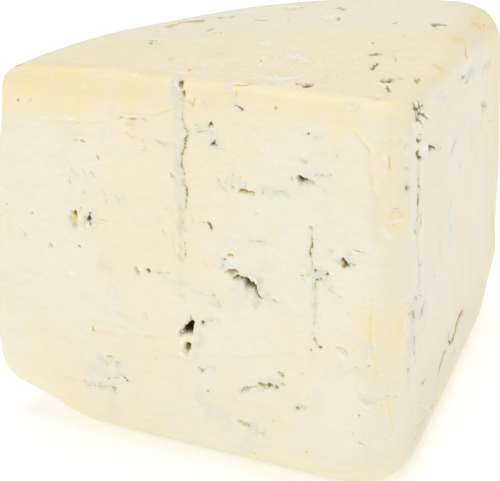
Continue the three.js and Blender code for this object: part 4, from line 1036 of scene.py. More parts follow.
RIGHT_SEEN = {
    "the dark crack low on the face": [
        ("nick", 0.7, (438, 374.5, 0.35), (441, 364, 0.45), (443.6, 354, 0.35)),
        ("vein", 0.8, (443.6, 354, 0.3), (446, 350.6, 0.25)),
        ("nick", 0.5, (448.5, 333, 0.35), (448.4, 341.3, 0.5)),
        ("nick", 0.5, (454.2, 336.6, 0.45), (450.8, 344, 0.5), (449.3, 342.4, 0.35)),
        ("rust", 0.7, (454.2, 335.5, 0.5), (451.4, 342.4, 0.5)),
        ("nick", 0.4, (454.2, 335.4, 0.4), (456.6, 323.8, 0.45), (459.8, 316, 0.4), (462.4, 311.4, 0.3)),
        ("rust", 0.8, (454.4, 335, 0.5), (456.6, 323.8, 0.6), (459.8, 316, 0.6), (463.2, 310.6, 0.4)),
        ("vein", 0.5, (454.4, 335, 0.5), (456.6, 323.8, 0.6), (459.8, 316, 0.5)),
        ("olive", 0.7, (454, 345, 0.8), (453.6, 352, 0.6)),
    ],
    "waxy chips along the upper edge": [
        ("pip", 0.6, (465.6, 48.1, 0.3), (465.4, 54.6, 0.27), (467.5, 58.6, 0.25)),
        ("bloom", 0.7, (470, 72, 1.4), (477, 64, 1.2)),
        ("bloom", 0.5, (466, 90, 1.5), (470, 78, 1.4)),
        ("wax", 0.8, (488.6, 124, 0.8), (491, 121, 0.8)),
    ],
    "beside the corner": [
        ("olive", 0.8, (401, 140, 0.5), (401.5, 146, 0.4)),
        ("tan", 0.6, (401, 139, 0.3), (402, 147, 0.3)),
        ("tan", 0.5, (404, 165, 0.5), (404, 169, 0.5)),
        ("vein", 0.7, (406.4, 185.8, 0.4), (407.2, 188.2, 0.5)),
        ("bloom", 0.5, (406.6, 187, 0.9), (406, 192, 0.5)),
    ],
    "the far end of the right cut": [
        ("vein", 0.35, (451.6, 220.6, 0.35), (451, 224.6, 0.45), (450.4, 229.6, 0.25)),
        ("olive", 0.9, (476, 257, 0.5), (473, 262, 0.9), (470.6, 266.6, 0.7)),
        ("olive", 1, (483.4, 103, 0.9), (482.2, 113, 0.9), (481.6, 122, 0.6)),
        ("olive", 0.9, (492, 206, 1.2), (494, 248, 1.4)),
        ("tan", 0.9, (491, 205, 0.8), (493, 225, 1), (494, 248, 0.8)),
        ("wax", 0.5, (492, 206, 1.5), (494, 248, 1.5)),
    ],
}
TOP_SEEN = {
    "middle of the top": [
        ("vein", 0.8, (150.2, 41.9, 0.3), (151.4, 43.6, 0.3)),
        ("hair", 0.7, (151, 40, 0.3), (156, 38.8, 0.25), (161, 40, 0.25)),
        ("pale", 0.9, (331, 19.2, 0.8)),
        ("tan", 0.7, (211.5, 54.6, 0.6), (216, 55, 1), (222, 53.6, 0.8)),
        ("tan", 0.9, (167.6, 59.6, 0.6), (173.4, 59.4, 0.6)),
        ("pale", 1, (168.8, 54.4, 0.6), (173, 54.6, 0.5)),
        ("pale", 0.9, (163, 61.6, 0.4), (166, 61.4, 0.4)),
        ("pale", 0.9, (173.8, 59.4, 0.3), (177, 58.6, 0.3), (177.4, 60.4, 0.3)),
        ("pale", 1, (208.8, 60.2, 0.6), (213.8, 60, 0.6)),
        ("pale", 0.8, (201.6, 64.6, 0.5), (207, 64.4, 0.4)),
        ("pale", 0.7, (192, 41.4, 0.5), (202, 40.6, 0.5)),
        ("pip", 1, (188.8, 68.8, 0.25), (190, 70.2, 0.35)),
        ("olive", 0.6, (191.6, 67.2, 0.5), (195, 66.8, 0.4)),
        ("pale", 1, (258.8, 43, 0.8), (265, 43.8, 1.2), (272, 46, 0.5)),
        ("smear", 0.9, (296.8, 48.4, 0.2), (307.6, 48.8, 0.2)),
        ("smear", 1, (288.4, 53.4, 0.4), (292.6, 57.6, 0.7)),
        ("smear", 1, (297, 54, 0.3), (304, 58.4, 0.4)),
        ("smear", 1, (300, 62, 0.6), (307, 60, 0.5), (310.4, 63, 0.3)),
        ("smear", 1, (315.2, 63.6, 0.25), (322, 64.8, 0.3), (328, 66, 0.15)),
    ],
    "far left edge of the top": [
        ("rust", 0.2, (170, 26.4, 0.8), (174.6, 25, 0.6), (179, 22.4, 0.5), (185, 21.4, 0.5), (192, 21, 0.5)),
        ("vein", 0.45, (188.5, 21.2, 0.5), (196, 20.5, 0.6), (201, 20.6, 0.8)),
        ("olive", 0.8, (193, 23.4, 0.8), (199, 23, 0.6)),
        ("rust", 0.4, (155, 30.6, 0.4), (159.6, 30.2, 0.4)),
        ("vein", 0.9, (220, 17.4, 0.6), (224, 17, 0.6)),
        ("vein", 0.9, (231.4, 16.8, 0.6), (233, 16.4, 0.6), (228, 16.2, 0.4)),
        ("vein", 0.5, (214.6, 32.6, 0.35), (220.4, 32.3, 0.35)),
    ],
    "right end of the top": [
        ("cavity", 0.9, (434, 24.8, 0.6), (438.6, 25, 1), (443, 25.2, 0.6)),
        ("pale", 0.7, (436, 26, 0.6), (439, 26.4, 0.4)),
        ("cavity", 0.6, (370, 54.6, 0.7), (377, 54.4, 0.8)),
        ("vein", 0.95, (378.8, 62.4, 0.5), (374.8, 65.6, 0.4), (372, 69, 0.35)),
        ("rust", 0.5, (371.6, 68.6, 0.3), (372.2, 70, 0.25)),
        ("cavity", 0.85, (384, 80.4, 0.7), (388, 81.6, 0.8), (391, 80, 0.5)),
        ("vein", 0.8, (384.6, 81.4, 0.6), (390.6, 80.4, 0.6)),
        ("flake", 0.9, (374.4, 82.8, 0.15), (379, 81, 0.25), (383, 81, 0.2)),
        ("flake", 0.9, (392, 79, 0.25), (396.6, 78.2, 0.25), (400.6, 78.8, 0.15)),
        ("smear", 0.9, (383, 84.8, 0.3), (391, 84.8, 0.3)),
        ("chip", 0.9, (434.4, 66.6, 0.9), (441, 70.4, 1.2)),
        ("pip", 0.5, (439.2, 68.6, 0.35)),
        ("chip", 0.9, (471, 25.6, 0.9), (476, 25, 0.7)),
        ("chip", 1, (478.6, 27, 1.1), (481, 28, 1)),
        ("pip", 0.7, (472, 23.2, 0.35)),
        ("pip", 0.6, (470.2, 29.3, 0.3)),
        ("pip", 1, (479.8, 28, 0.35)),
        ("chip", 0.7, (453.6, 41.6, 0.8), (462.4, 41.4, 1)),
    ],
    "front of the top": [
        ("smear", 1, (253, 73.2, 0.4), (262, 75.6, 0.3), (270, 77.4, 0.5)),
        ("smear", 1, (268, 77.4, 0.5), (282, 79, 0.7), (296, 76.8, 0.4)),
        ("smear", 0.9, (255, 77, 0.3), (264, 78.2, 0.25)),
        ("vein", 0.5, (279.8, 75.2, 0.25), (285, 75.3, 0.2)),
        ("pale", 0.9, (262, 84.4, 0.4), (270, 86, 0.5)),
        ("pale", 0.9, (283, 84.4, 0.4), (287.6, 85.6, 0.6)),
        ("brown_hole", 0.85, (300.4, 84.4, 0.6), (305.8, 86, 0.9), (311, 84.4, 0.6)),
        ("pale", 1, (303.6, 82.4, 0.4), (310, 82.6, 0.4)),
    ],
}

SMEARS = dict(count=85, seed=7, middle=(-12, 37), spread=(13, 11), length=(0.6, 2.6), width=(0.12, 0.42))

# Small marks of the same kinds, spread at random over the rind and the outer parts that the photo hides
RIND_MARKS = dict(count=64, seed=19, height=(14, 86))


def smears():
    """Short whitish smears on the top, thick round one spot and all drawn the same way"""
    numbers = np.random.default_rng(SMEARS["seed"])
    rows = []
    for _ in range(SMEARS["count"]):
        x, y = numbers.normal(SMEARS["middle"], SMEARS["spread"])
        if y < abs(x) + 4 or y > 84:
            continue
        length = numbers.uniform(*SMEARS["length"])
        lean = numbers.normal(0.9, 0.35)
        width = numbers.uniform(*SMEARS["width"])
        end = (x + length * math.cos(lean), y + length * math.sin(lean), 0.5 * width)
        rows.append(("smear", numbers.uniform(0.4, 1), (x, y, width), end))
    return rows


def rind_marks():
    """Holes, veins and stains of the rind, as (along the rind, up, half width)"""
    numbers = np.random.default_rng(RIND_MARKS["seed"])
    arc = WHEEL_RADIUS * math.pi / 2
    choices = ["hole", "brown_hole", "nick", "vein", "rust", "bloom", "olive", "scratch", "hair", "pale", "crease"]
    shares = [0.05, 0.06, 0.07, 0.14, 0.1, 0.2, 0.1, 0.08, 0.08, 0.06, 0.06]
    rows = []
    for _ in range(RIND_MARKS["count"]):
        kind = numbers.choice(choices, p=shares)
        soft = kind in ("bloom", "olive", "pale")
        width = numbers.uniform(0.8, 1.9) if soft else numbers.uniform(0.2, 0.7)
        point = np.array([numbers.uniform(2, arc + 6), numbers.uniform(*RIND_MARKS["height"])])
        direction = numbers.normal(0, 0.35)
        path = [(*point, width)]
        for _ in range(numbers.integers(1, 4)):
            direction += numbers.normal(0, 0.5)
            point = point + numbers.uniform(0.8, 2.4) * np.array([math.cos(direction), math.sin(direction)])
            path.append((*point, width * numbers.uniform(0.4, 1)))
        rows.append((str(kind), numbers.uniform(0.4, 0.9), *path))
    return rows


def across_rind(p):
    return np.stack([WHEEL_RADIUS * np.arctan2(p[:, 1] - AXIS[1], p[:, 0] - AXIS[0]), p[:, 2]], 1)


def towards_axis(p):
    inward = np.column_stack([AXIS - p[:, :2], np.zeros(len(p))])
    return inward / np.linalg.norm(inward, axis=1)[:, None]


ROOT_HALF = math.sqrt(0.5)


def fixed(vector):
    return lambda p: np.tile(np.array(vector, float), (len(p), 1))


def view_axes():
    """The photo's directions among the cuts: level and ahead, to the right, and straight up"""
    turn = VIEW_TURN + CORNER_TURN
    return np.array([[math.sin(turn), math.cos(turn), 0], [math.cos(turn), -math.sin(turn), 0], [0, 0, 1]])


def viewpoint():
    ahead, aside, upright = view_axes()
    return VIEW_ASIDE * aside - VIEW_BACK * ahead + VIEW_HEIGHT * upright


def behind_pixels(carrier, across, down):
    """Places on a flat face that the photo shows at these pixels"""
    ahead, aside, upright = view_axes()
    into = math.cos(VIEW_DOWN) * ahead - math.sin(VIEW_DOWN) * upright
    up = math.sin(VIEW_DOWN) * ahead + math.cos(VIEW_DOWN) * upright
    rightward = (across - PHOTO_SIZE[0] / 2) / FOCAL_PIXELS
    upward = (PHOTO_SIZE[1] / 2 - down) / FOCAL_PIXELS
    sight = into + rightward[:, None] * aside + upward[:, None] * up
    p = viewpoint() + VIEW_BACK * sight
    for _ in range(6):
        off = carrier["off"](p)
        p -= sight * (off / (carrier["off"](p + sight) - off))[:, None]
    return p


def as_seen(flat):
    """Moves places on a flat face along the line of sight, onto the rounded surface"""
    sight = flat - viewpoint()
    sight /= np.linalg.norm(sight, axis=1)[:, None]
    p = flat.copy()
    for _ in range(12):
        off = off_surface(p)
        closing = (slope_at(p, off) * sight).sum(1)
        p -= sight * np.clip(off / np.minimum(closing, -0.25), -3, 3)[:, None]
    return p


def place_marks(carrier):
    """Turns the places of a face's marks, as read against the flat face or in the photo, into places on the piece"""
    read = [(row, carrier["flat"]) for row in carrier["marks"]]
    for part in carrier["seen"].values():
        read += [(row, lambda across, down: behind_pixels(carrier, across, down)) for row in part]
    rows = []
    for (name, strength, *path), flat in read:
        path = np.array(path, float)
        path[:, :2] = carrier["place"](as_seen(flat(path[:, 0], path[:, 1])))
        rows.append((name, strength, *path))
    carrier["marks"] = rows


def drop(z):
    return WHEEL_HEIGHT - z


def flat_top(x, y):
    """Places on the top, given to the right of the middle and back from the corner"""
    p = np.stack([(x + y) * ROOT_HALF, (y - x) * ROOT_HALF, 0 * x], 1)
    p[:, 2] = crown_height(p)
    return p


# The faces that carry marks: where a point lies on each, and the flat face's point there; how far off it is, which way a
# mark sinks, and which way is up
CARRIERS = [
    dict(
        marks=LEFT_MARKS,
        seen=LEFT_SEEN,
        place=lambda p: p[:, 1:],
        flat=lambda across, up: np.stack([-LEFT_LEAN * drop(up), across, up], 1),
        off=off_left,
        inward=fixed((1, 0, 0)),
        up=(0, 0, 1),
    ),
    dict(
        marks=RIGHT_MARKS,
        seen=RIGHT_SEEN,
        place=lambda p: p[:, ::2],
        flat=lambda across, up: np.stack([across, -RIGHT_LEAN * drop(up), up], 1),
        off=off_right,
        inward=fixed((0, 1, 0)),
        up=(0, 0, 1),
    ),
    dict(
        marks=smears() + TOP_MARKS,
        seen=TOP_SEEN,
        place=lambda p: np.stack([p[:, 0] - p[:, 1], p[:, 0] + p[:, 1]], 1) * ROOT_HALF,
        flat=flat_top,
        off=off_top,
        inward=fixed((0, 0, -1)),
        up=(ROOT_HALF, ROOT_HALF, 0),
    ),
    dict(marks=rind_marks(), place=across_rind, off=off_rind, inward=towards_axis, up=(0, 0, 1)),
]


def off_mark(spots, path, ragged):
    """Distance on a face from spots to the outline of a mark, below zero inside it, and how high in the mark they are"""
    path = np.array(path, float)
    ends = np.roll(path, -1, 0)
    ends[-1] = path[-1]
    nearest = np.full(len(spots), np.inf)
    rise = np.zeros(len(spots))
    for start, end in list(zip(path, ends))[: max(1, len(path) - 1)]:
        run = end[:2] - start[:2]
        share = np.clip((spots - start[:2]) @ run / max(run @ run, 1e-9), 0, 1)
        across = spots - start[:2] - share[:, None] * run
        width = blend(start[2], end[2], share)
        gap = np.linalg.norm(across, axis=1) - width
        rise = np.where(gap < nearest, (0.9 * across[:, 1] - 0.45 * across[:, 0]) / width, rise)
        nearest = np.minimum(nearest, gap)
    size = min(1.1, 0.5 + path[:, 2].max())
    uneven = grain(spots, size, 1) + 0.5 * grain(spots, 0.45 * size, 2)
    return nearest + ragged * min(1, 0.35 + path[:, 2].max()) * uneven, rise


def each_mark(p, carrier):
    """Goes through a face's marks near the points: which points, how far off and how high in it, how strong, the kind"""
    under = -carrier["off"](p)
    near = np.flatnonzero(under < SKIN)
    spots = carrier["place"](p[near])
    hold = 1 - ramp(SKIN / 2, SKIN, under[near])
    for name, strength, *path in carrier["marks"]:
        corners = np.array(path)
        margin = corners[:, 2].max() + REACH
        inside = ((spots > corners[:, :2].min(0) - margin) & (spots < corners[:, :2].max(0) + margin)).all(1)
        if inside.any():
            off, rise = off_mark(spots[inside], path, KINDS[name]["ragged"])
            yield near[inside], off, rise, hold[inside] * strength, KINDS[name]


def edge_wanted(p):
    wanted = np.full(len(p), float(LONGEST_EDGE))
    for carrier in CARRIERS:
        for which, off, _, _, kind in each_mark(p, carrier):
            beside = np.maximum(np.abs(off) - kind["wall"], 0)
            edge = kind["edge"] or LONGEST_EDGE
            wanted[which] = np.minimum(wanted[which], edge + EDGE_GROWTH * beside)
    return wanted


def refine(points, faces):
    """Splits edges near the marks until they are short enough, each for both of its triangles"""
    while True:
        sides = faces[:, [[0, 1], [1, 2], [2, 0]]]
        keys = np.sort(sides.reshape(-1, 2), 1) @ [2 ** 32, 1]
        keys, numbers = np.unique(keys, return_inverse=True)
        numbers = numbers.reshape(-1, 3)
        ends = np.stack([keys >> 32, keys & (2 ** 32 - 1)], 1)
        length = np.linalg.norm(points[ends[:, 0]] - points[ends[:, 1]], axis=1)
        middle = points[ends].mean(1)
        split = length > 1.5 * FINEST_EDGE
        split[split] = length[split] > 1.5 * edge_wanted(middle[split])
        if not split.any():
            return points, faces
        longest = length[numbers].argmax(1)
        while True:
            touched = split[numbers].any(1)
            needed = numbers[touched, longest[touched]]
            if split[needed].all():
                break
            split[needed] = True
        fresh = np.full(len(keys), -1)
        fresh[split] = len(points) + np.arange(split.sum())
        points = np.concatenate([points, settle(middle[split])])
        faces = split_faces(faces, fresh[numbers], longest)


def split_faces(faces, middles, longest):
    """Cuts triangles through their longest side, then through the others that have a middle point"""
    order = (longest[:, None] + np.arange(3)) % 3
    a, b, c = np.take_along_axis(faces, order, 1).T
    ab, bc, ca = np.take_along_axis(middles, order, 1).T
    whole = ab < 0
    pieces = [faces[whole]]
    for tip, start, end, middle in ((ab, b, c, bc), (ab, c, a, ca)):
        once = ~whole & (middle < 0)
        twice = ~whole & (middle >= 0)
        pieces.append(np.stack([tip, start, end], 1)[once])
        pieces.append(np.stack([tip, start, middle], 1)[twice])
        pieces.append(np.stack([tip, middle, end], 1)[twice])
    return np.concatenate(pieces)


def layer(values, which, share):
    """Lays one share of a finish over what is there"""
    values[which] = 1 - (1 - values[which]) * (1 - np.clip(share, 0, 1))


def sink_marks(points):
    """Sinks the marks into the piece, and says how strongly each finish shows at each point"""
    finish = {name: np.zeros(len(points)) for name in FINISHES}
    moved = points.copy()
    for carrier in CARRIERS:
        depth = np.zeros(len(points))
        height = np.zeros(len(points))
        lean = np.zeros(len(points))
        for which, off, rise, strength, kind in each_mark(points, carrier):
            colour_strength = np.minimum(0.45 + 0.55 * strength, 1) if kind["edge"] else strength
            wall = kind["wall"]
            stained = (1 - ramp(*(STAIN_EDGE if kind["edge"] else (-wall, wall)), off)) * colour_strength
            clouded = (1 - ramp(*CLOUD_EDGE, off)) * strength
            # Painted shade in the pits: full inside the outline, and lit takes part of it from the lower side, where
            # the light falls
            lit = kind.get("lit", 0)
            shaded = (1 - ramp(-0.14, 0.2, off)) * strength * (1 - lit + lit * ramp(-1.3, 0.1, rise))
            shown = {"pit": shaded, "bloom": clouded, "olive": clouded}
            for name, share in kind["inside"].items():
                layer(finish[name], which, share * shown.get(name, stained))
            for name, (share, width) in kind.get("halo", {}).items():
                layer(finish[name], which, share * strength * np.exp(-np.maximum(off, 0) / width))
            sunk = (1 - ramp(-wall, wall, off)) * strength * kind["depth"]
            lean[which] = np.where(sunk > depth[which], sunk * kind.get("lean", 0), lean[which])
            depth[which] = np.maximum(depth[which], sunk)
            rim = kind.get("rim", 0) * strength * kind["depth"] * np.exp(-((off - 0.5) / 0.35) ** 2)
            height[which] = np.maximum(height[which], np.maximum(-sunk, rim))
        depth *= 1 + 0.12 * grain(points, 0.9, 5)
        height *= 1 + 0.6 * grain(points, 0.7, 6)
        moved += carrier["inward"](points) * (depth - height)[:, None]
        moved += np.array(carrier["up"]) * lean[:, None]
    return moved, finish


def edge_wax(p):
    """How waxy the worn edges are: the top edges, the corner between the cuts and the low bulge"""
    left, right, top = -off_left(p), -off_right(p), -off_top(p)
    front_edge = ramp(10, 0, left) * ramp(13, 0, top)
    right_edge = ramp(6, 1, right) * ramp(6, 1, top)
    corner = ramp(8, 2, left) * ramp(8, 1, right)
    low = ramp(16, 3, p[:, 2]) * ramp(9, 3, np.minimum(left, right))
    far = ramp(34, 5, -off_rind(p)) * ramp(12, 3, right)
    return np.maximum.reduce([0.36 * front_edge, 0.15 * right_edge, 0.1 * corner, 0.25 * low, 0.7 * far])


def low_dullness(p):
    """How much painted shade darkens the paste: low down all round, and further up and at the far end on the right cut
    """
    right_cut = ramp(8, 2, -off_right(p)) * ramp(4, 14, -off_left(p))
    low = np.maximum(0.3 * ramp(12, 3, p[:, 2]), 0.7 * right_cut * ramp(50, 8, p[:, 2]))
    return np.maximum(low, right_cut * ramp(30, 6, -off_rind(p)) * ramp(85, 70, p[:, 2]))


def far_behind(p):
    """From 0 to 1 over the paler back of the top, and along its rim"""
    back = (p[:, 0] + p[:, 1] + 0.4 * (p[:, 0] - p[:, 1])) * ROOT_HALF
    return np.maximum(ramp(53, 69, back), 0.6 * ramp(9, 3, -off_rind(p)))


def cheese_mesh():
    for carrier in CARRIERS:
        if "flat" in carrier:
            place_marks(carrier)
    points, faces = refine(*smooth_piece())
    moved, finish = sink_marks(points)
    layer(finish["wax"], slice(None), edge_wax(points))
    finish["top"] = ramp(5, 0.5, -off_top(points))
    finish["behind"] = finish["top"] * far_behind(points)
    # Painted shade low down and on the right cut
    finish["dull"] = low_dullness(points)
    turn = np.array([
        [math.cos(CORNER_TURN), math.sin(CORNER_TURN), 0],
        [-math.sin(CORNER_TURN), math.cos(CORNER_TURN), 0],
        [0, 0, 1],
    ])
    placed = (moved @ turn + [*CORNER_PLACE, 0]) * MILLIMETRE
    mesh = bpy.data.meshes.new("blue_cheese")
    mesh.from_pydata(placed, [], faces)
    for name, values in finish.items():
        mesh.attributes.new(name, "FLOAT", "POINT").data.foreach_set("value", values.astype(np.float32))
    mesh.polygons.foreach_set("use_smooth", np.ones(len(faces), bool))
    mesh.update()
    print("blue_cheese triangles", len(faces))
    return mesh


class Channel:
    """A number in a material, so that shader maths reads as Python"""

    def __init__(self, finish, socket):
        self.finish = finish
        self.socket = socket

    def maths(self, operation, *values):
        return self.finish.node("ShaderNodeMath", {"operation": operation}, dict(enumerate(values)))

    def __add__(self, other):
        return self.maths("ADD", self, other)

    def __sub__(self, other):
        return self.maths("SUBTRACT", self, other)

    def __rsub__(self, other):
        return self.maths("SUBTRACT", other, self)

    def __mul__(self, other):
        return self.maths("MULTIPLY", self, other)

    __radd__ = __add__
    __rmul__ = __mul__

    def size(self):
        """The number without its sign"""
        return self.maths("ABSOLUTE", self)

    def ramp(self, low, high):
        """Rises smoothly from 0 to 1 between two values"""
        settings = {"interpolation_type": "SMOOTHSTEP"}
        return self.finish.node("ShaderNodeMapRange", settings, {"Value": self, "From Min": low, "From Max": high})


class Finish:
    """A material, built up node by node"""

    def __init__(self, name):
        self.material = bpy.data.materials.new(name)
        self.material.use_nodes = True
        self.tree = self.material.node_tree
        self.tree.nodes.clear()

    def node(self, kind, settings=None, inputs=None, output=0):
        """Adds a node: first its settings, then the values or links of its sockets"""
        node = self.tree.nodes.new(kind)
        for name, value in (settings or {}).items():
            setattr(node, name, value)
        for key, value in (inputs or {}).items():
            if isinstance(value, Channel):
                self.tree.links.new(value.socket, node.inputs[key])
            else:
                node.inputs[key].default_value = value
        return Channel(self, node.outputs[output]) if len(node.outputs) else node

    def mark(self, name):
        return self.node("ShaderNodeAttribute", {"attribute_name": name}, output="Fac")

    def place(self, size=(1, 1, 1), place=None):
        """The point on the object, in millimetres, divided by a size for each axis"""
        place = place or self.node("ShaderNodeTexCoord", output="Object")
        unit = MILLIMETRE if place.socket.node.type == "TEX_COORD" else 1
        factors = tuple(1 / (unit * step) for step in size)
        return self.node("ShaderNodeVectorMath", {"operation": "MULTIPLY"}, {0: place, 1: factors})

    def noise(self, size, detail=2, roughness=0.5, warp=0.0, place=None):
        """Noise about 0.5 with features of the given size in millimetres"""
        size = size if isinstance(size, tuple) else (size,) * 3
        inputs = {"Vector": self.place(size, place), "Detail": detail, "Roughness": roughness, "Distortion": warp}
        return self.node("ShaderNodeTexNoise", None, {"Scale": 1.0, **inputs}, "Fac")

    def mix(self, share, under, over):
        """A colour mixed from two others"""
        colours = [c if isinstance(c, Channel) else srgb(*c) for c in (under, over)]
        settings = {"data_type": "RGBA"}
        return self.node("ShaderNodeMix", settings, {"Factor": share, 6: colours[0], 7: colours[1]}, 2)


def srgb(red, green, blue):
    """A colour in 0 to 255 steps, as the renderer's linear values"""
    return tuple(((c / 255 + 0.055) / 1.055) ** 2.4 if c > 10 else c / 255 / 12.92 for c in (red, green, blue)) + (1,)


# Colours, read from the photo
PASTE = (242, 236, 216)
PASTE_WARM = (244, 234, 206)
PASTE_DULL = (235, 229, 207)
PASTE_YELLOW = (247, 234, 190)
PASTE_COOL = (236, 231, 210)
TOP_WARM = (249, 237, 201)
TOP_GREY = (249, 241, 218)
TOP_TAN = (246, 232, 191)
TOP_BACK = (246, 237, 217)
# Painted shade for low down and for the right cut
LOW_RIGHT_SHADE = (229, 221, 199)
WAX = (251, 232, 166)
PALE = (247, 245, 237)
BLOOM = (224, 227, 214)
OLIVE = (222, 215, 174)
OCHRE = (231, 208, 145)
ORANGE = (231, 184, 70)
RUST = (213, 186, 106)
RUST_DEEP = (138, 110, 62)
MOULD = (200, 195, 148)
MOULD_DARK = (140, 131, 66)
MOULD_DEEP = (84, 76, 30)
# The next two are painted shade for the walls and the cores of the pits, tinted brown
PIT_WALL_SHADE = (166, 143, 84)
PIT_SHADE = (52, 38, 14)


def paste_material():
    """Soft cream paste with waxy edges, blue bloom, rusty pips, dark mould and painted shade in the pits, and painted
    shade low down and on the right cut
    """
    f = Finish("blue_cheese_paste")
    along_cut = f.node("ShaderNodeMapping", {"vector_type": "TEXTURE"}, {
        "Vector": f.place(),
        "Rotation": (0, 0, -CORNER_TURN),
        "Scale": (1, 1, 1),
    })
    broad = f.noise(24, 3, 0.5)
    patchy = f.noise(7, 3, 0.6, 0.5)
    curdy = f.noise(1.7, 3, 0.6, 0.4)
    fine = f.noise(0.45, 2, 0.6)
    streak = f.noise((9, 9, 3.4), 3, 0.5, 1.2)
    smear = f.noise((9, 5, 9), 4, 0.6, 1.5, along_cut)
    top = f.mark("top")
    drawn = streak + (smear - streak) * top
    colour = f.mix(broad.ramp(0.35, 0.65), PASTE, PASTE_WARM)
    colour = f.mix(drawn.ramp(0.5, 0.75) * 0.35, colour, PASTE_DULL)
    colour = f.mix(patchy.ramp(0.52, 0.72) * 0.4, colour, PASTE_YELLOW)
    colour = f.mix(f.noise(11, 3, 0.6, 1.0).ramp(0.55, 0.72) * 0.6, colour, PASTE_COOL)
    top_colour = f.mix(drawn.ramp(0.45, 0.65) * 0.7, TOP_WARM, TOP_GREY)
    top_colour = f.mix(f.noise(9, 4, 0.6, 1.0).ramp(0.45, 0.65) * 0.5, top_colour, TOP_TAN)
    top_colour = f.mix(f.mark("behind") * 0.85, top_colour, TOP_BACK)
    colour = f.mix(top * 0.9, colour, top_colour)
    # Painted shade low down all round and on the right cut
    colour = f.mix(f.mark("dull") * (0.6 + patchy * 0.8), colour, LOW_RIGHT_SHADE)
    wax = f.mark("wax") * (patchy.ramp(0.25, 0.7) * 0.7 + 0.3)
    colour = f.mix(wax * 0.75, colour, WAX)
    bloom = f.mark("bloom") * (0.5 + curdy)
    colour = f.mix(bloom.ramp(-0.05, 1.1) * 0.92, colour, BLOOM)
    olive = f.mark("olive") * (0.35 + curdy * 1.3)
    colour = f.mix(olive.ramp(0.1, 0.95) * 0.75, colour, OLIVE)
    flecks = f.noise(1.5, 3, 0.6, 0.8).ramp(0.62, 0.68) * f.noise(13, 3, 0.6).ramp(0.48, 0.62)
    colour = f.mix(flecks * (top * 0.6 + 0.25), colour, PALE)
    specks = f.noise(0.9, 1, 0.5, 1.0).ramp(0.7, 0.76) * patchy.ramp(0.5, 0.65)
    colour = f.mix(specks * 0.5, colour, OLIVE)
    ochre = f.mark("ochre") + (fine - 0.5) * 0.5
    colour = f.mix(ochre.ramp(0.25, 0.75) * 0.85, colour, OCHRE)
    wisps = (f.noise(1.5, 2, 0.5, 1.2) - 0.5).size().ramp(0.035, 0.0)
    wispy = wisps * (f.mark("olive") + f.mark("bloom") * 0.6 + f.mark("mould")).ramp(0.25, 1.0)
    colour = f.mix(wispy * 0.5, colour, MOULD)
    pale = f.mark("pale") + (fine - 0.5) * 0.5 + (curdy - 0.5) * 0.4
    colour = f.mix(pale.ramp(0.3, 0.65) * 0.9, colour, PALE)
    orange = f.mark("orange") + (fine - 0.5) * 0.3
    colour = f.mix(orange.ramp(0.35, 0.6) * 0.9, colour, ORANGE)
    rust = f.mark("rust") + (fine - 0.5) * 0.35
    colour = f.mix(rust.ramp(0.35, 0.65) * 0.9, colour, RUST)
    colour = f.mix(rust.ramp(0.68, 1.0) * 0.85, colour, RUST_DEEP)
    mould = f.mark("mould") + (fine - 0.5) * 1.1 + (curdy - 0.5) * 0.3
    colour = f.mix(mould.ramp(0.2, 0.6) * 0.8, colour, MOULD)
    colour = f.mix(mould.ramp(0.5, 0.85) * 0.85, colour, MOULD_DARK)
    colour = f.mix(mould.ramp(0.85, 1.1) * 0.8, colour, MOULD_DEEP)
    # Painted shade in the pits, browner on the walls and darkest at the core
    pit = f.mark("pit") + (fine - 0.5) * 0.2
    colour = f.mix(pit.ramp(0.05, 0.45) * 0.85, colour, PIT_WALL_SHADE)
    colour = f.mix(pit.ramp(0.35, 0.95) * 0.97, colour, PIT_SHADE)
    relief = broad * 0.3 + patchy * 0.35 + drawn * 0.25 + curdy * 0.2 + fine * 0.05
    bump = f.node("ShaderNodeBump", None, {"Strength": 0.7, "Distance": 1.3 * MILLIMETRE, "Height": relief}, "Normal")
    roughness = 0.42 + (curdy - 0.5) * 0.25 + f.mark("mould") * 0.3 + f.mark("pit") * 0.2 - f.mark("wax") * 0.08
    inputs = {
        "Base Color": colour,
        "Roughness": roughness,
        "Normal": bump,
        "Subsurface Weight": 0.12,
        "Subsurface Radius": (1.0, 0.85, 0.7),
        "Subsurface Scale": 0.9 * MILLIMETRE,
        "Specular IOR Level": 0.4,
    }
    shader = f.node("ShaderNodeBsdfPrincipled", {"subsurface_method": "RANDOM_WALK"}, inputs)
    f.node("ShaderNodeOutputMaterial", None, {"Surface": shader})
    return f.material


def floor_material():
    f = Finish("pale_floor")
    mottled = f.noise(40, 2)
    colour = f.mix(mottled.ramp(0.3, 0.7), (250, 250, 250), (252, 252, 252))
    inputs = {
        "Base Color": colour,
        "Roughness": 0.9,
        "Specular IOR Level": 0.1,
        "Emission Color": (1, 1, 1, 1),
        "Emission Strength": FLOOR_GLOW,
    }
    shader = f.node("ShaderNodeBsdfPrincipled", None, inputs)
    f.node("ShaderNodeOutputMaterial", None, {"Surface": shader})
    return f.material


def add_floor():
    half = 3.0
    mesh = bpy.data.meshes.new("pale_floor")
    mesh.from_pydata([(-half, -half, 0), (half, -half, 0), (half, half, 0), (-half, half, 0)], [], [(0, 1, 2, 3)])
    mesh.materials.append(floor_material())
    floor = bpy.data.objects.new("pale_floor", mesh)
    bpy.context.scene.collection.objects.link(floor)
    floor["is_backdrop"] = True


def add_cheese():
    mesh = cheese_mesh()
    mesh.materials.append(paste_material())
    cheese = bpy.data.objects.new("blue_cheese", mesh)
    bpy.context.scene.collection.objects.link(cheese)
    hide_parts(NODE)
    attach(cheese, "root")


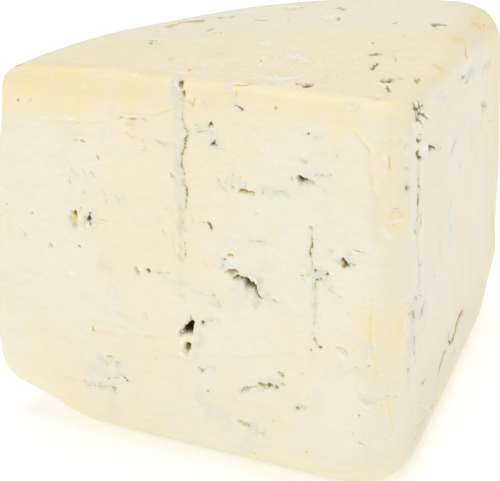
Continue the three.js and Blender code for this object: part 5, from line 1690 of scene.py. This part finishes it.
# The studio: how strongly the surroundings and the glowing floor light the piece, and soft lamps as (name, place,
# size, watts)
STUDIO_LIGHT = 0.48
FLOOR_GLOW = 0.24
SOFTBOXES = [
    ("key_left", (-0.75, -0.55, 0.6), 0.7, 3.0),
    ("overhead", (0.1, 0.2, 1.1), 0.9, 4.5),
    ("fill_right", (0.8, -0.3, 0.4), 0.7, 1.2),
]


def add_camera():
    ahead = np.array([math.sin(VIEW_TURN), math.cos(VIEW_TURN)])
    aside = np.array([math.cos(VIEW_TURN), -math.sin(VIEW_TURN)])
    x, y = np.array(CORNER_PLACE) - VIEW_BACK * ahead + VIEW_ASIDE * aside
    data = bpy.data.cameras.new("camera")
    data.sensor_width = SENSOR
    data.lens = FOCAL_PIXELS / PHOTO_SIZE[0] * SENSOR
    data.clip_start = 0.01
    camera = bpy.data.objects.new("camera", data)
    camera.location = (x * MILLIMETRE, y * MILLIMETRE, VIEW_HEIGHT * MILLIMETRE)
    camera.rotation_euler = (math.pi / 2 - VIEW_DOWN, 0, -VIEW_TURN)
    bpy.context.scene.collection.objects.link(camera)
    bpy.context.scene.camera = camera


def add_softbox(name, place, size, power):
    """A large soft lamp that faces the piece"""
    data = bpy.data.lights.new(name, "AREA")
    data.size = size
    data.energy = power
    lamp = bpy.data.objects.new(name, data)
    lamp.location = place
    direction = Vector((0, 0, WHEEL_HEIGHT / 2 * MILLIMETRE)) - lamp.location
    lamp.rotation_euler = direction.to_track_quat("-Z", "Y").to_euler()
    bpy.context.scene.collection.objects.link(lamp)


def add_light():
    world = bpy.data.worlds.new("white_studio")
    world.use_nodes = True
    backdrop = world.node_tree.nodes["Background"]
    backdrop.inputs["Color"].default_value = (1, 1, 1, 1)
    backdrop.inputs["Strength"].default_value = STUDIO_LIGHT
    bpy.context.scene.world = world
    for name, place, size, power in SOFTBOXES:
        add_softbox(name, place, size, power)
    bpy.context.scene.view_settings.view_transform = "Standard"


add_camera()
add_light()
add_floor()
add_cheese()

[[list(corner) for corner in box] for box in (CAD_BOX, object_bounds())]
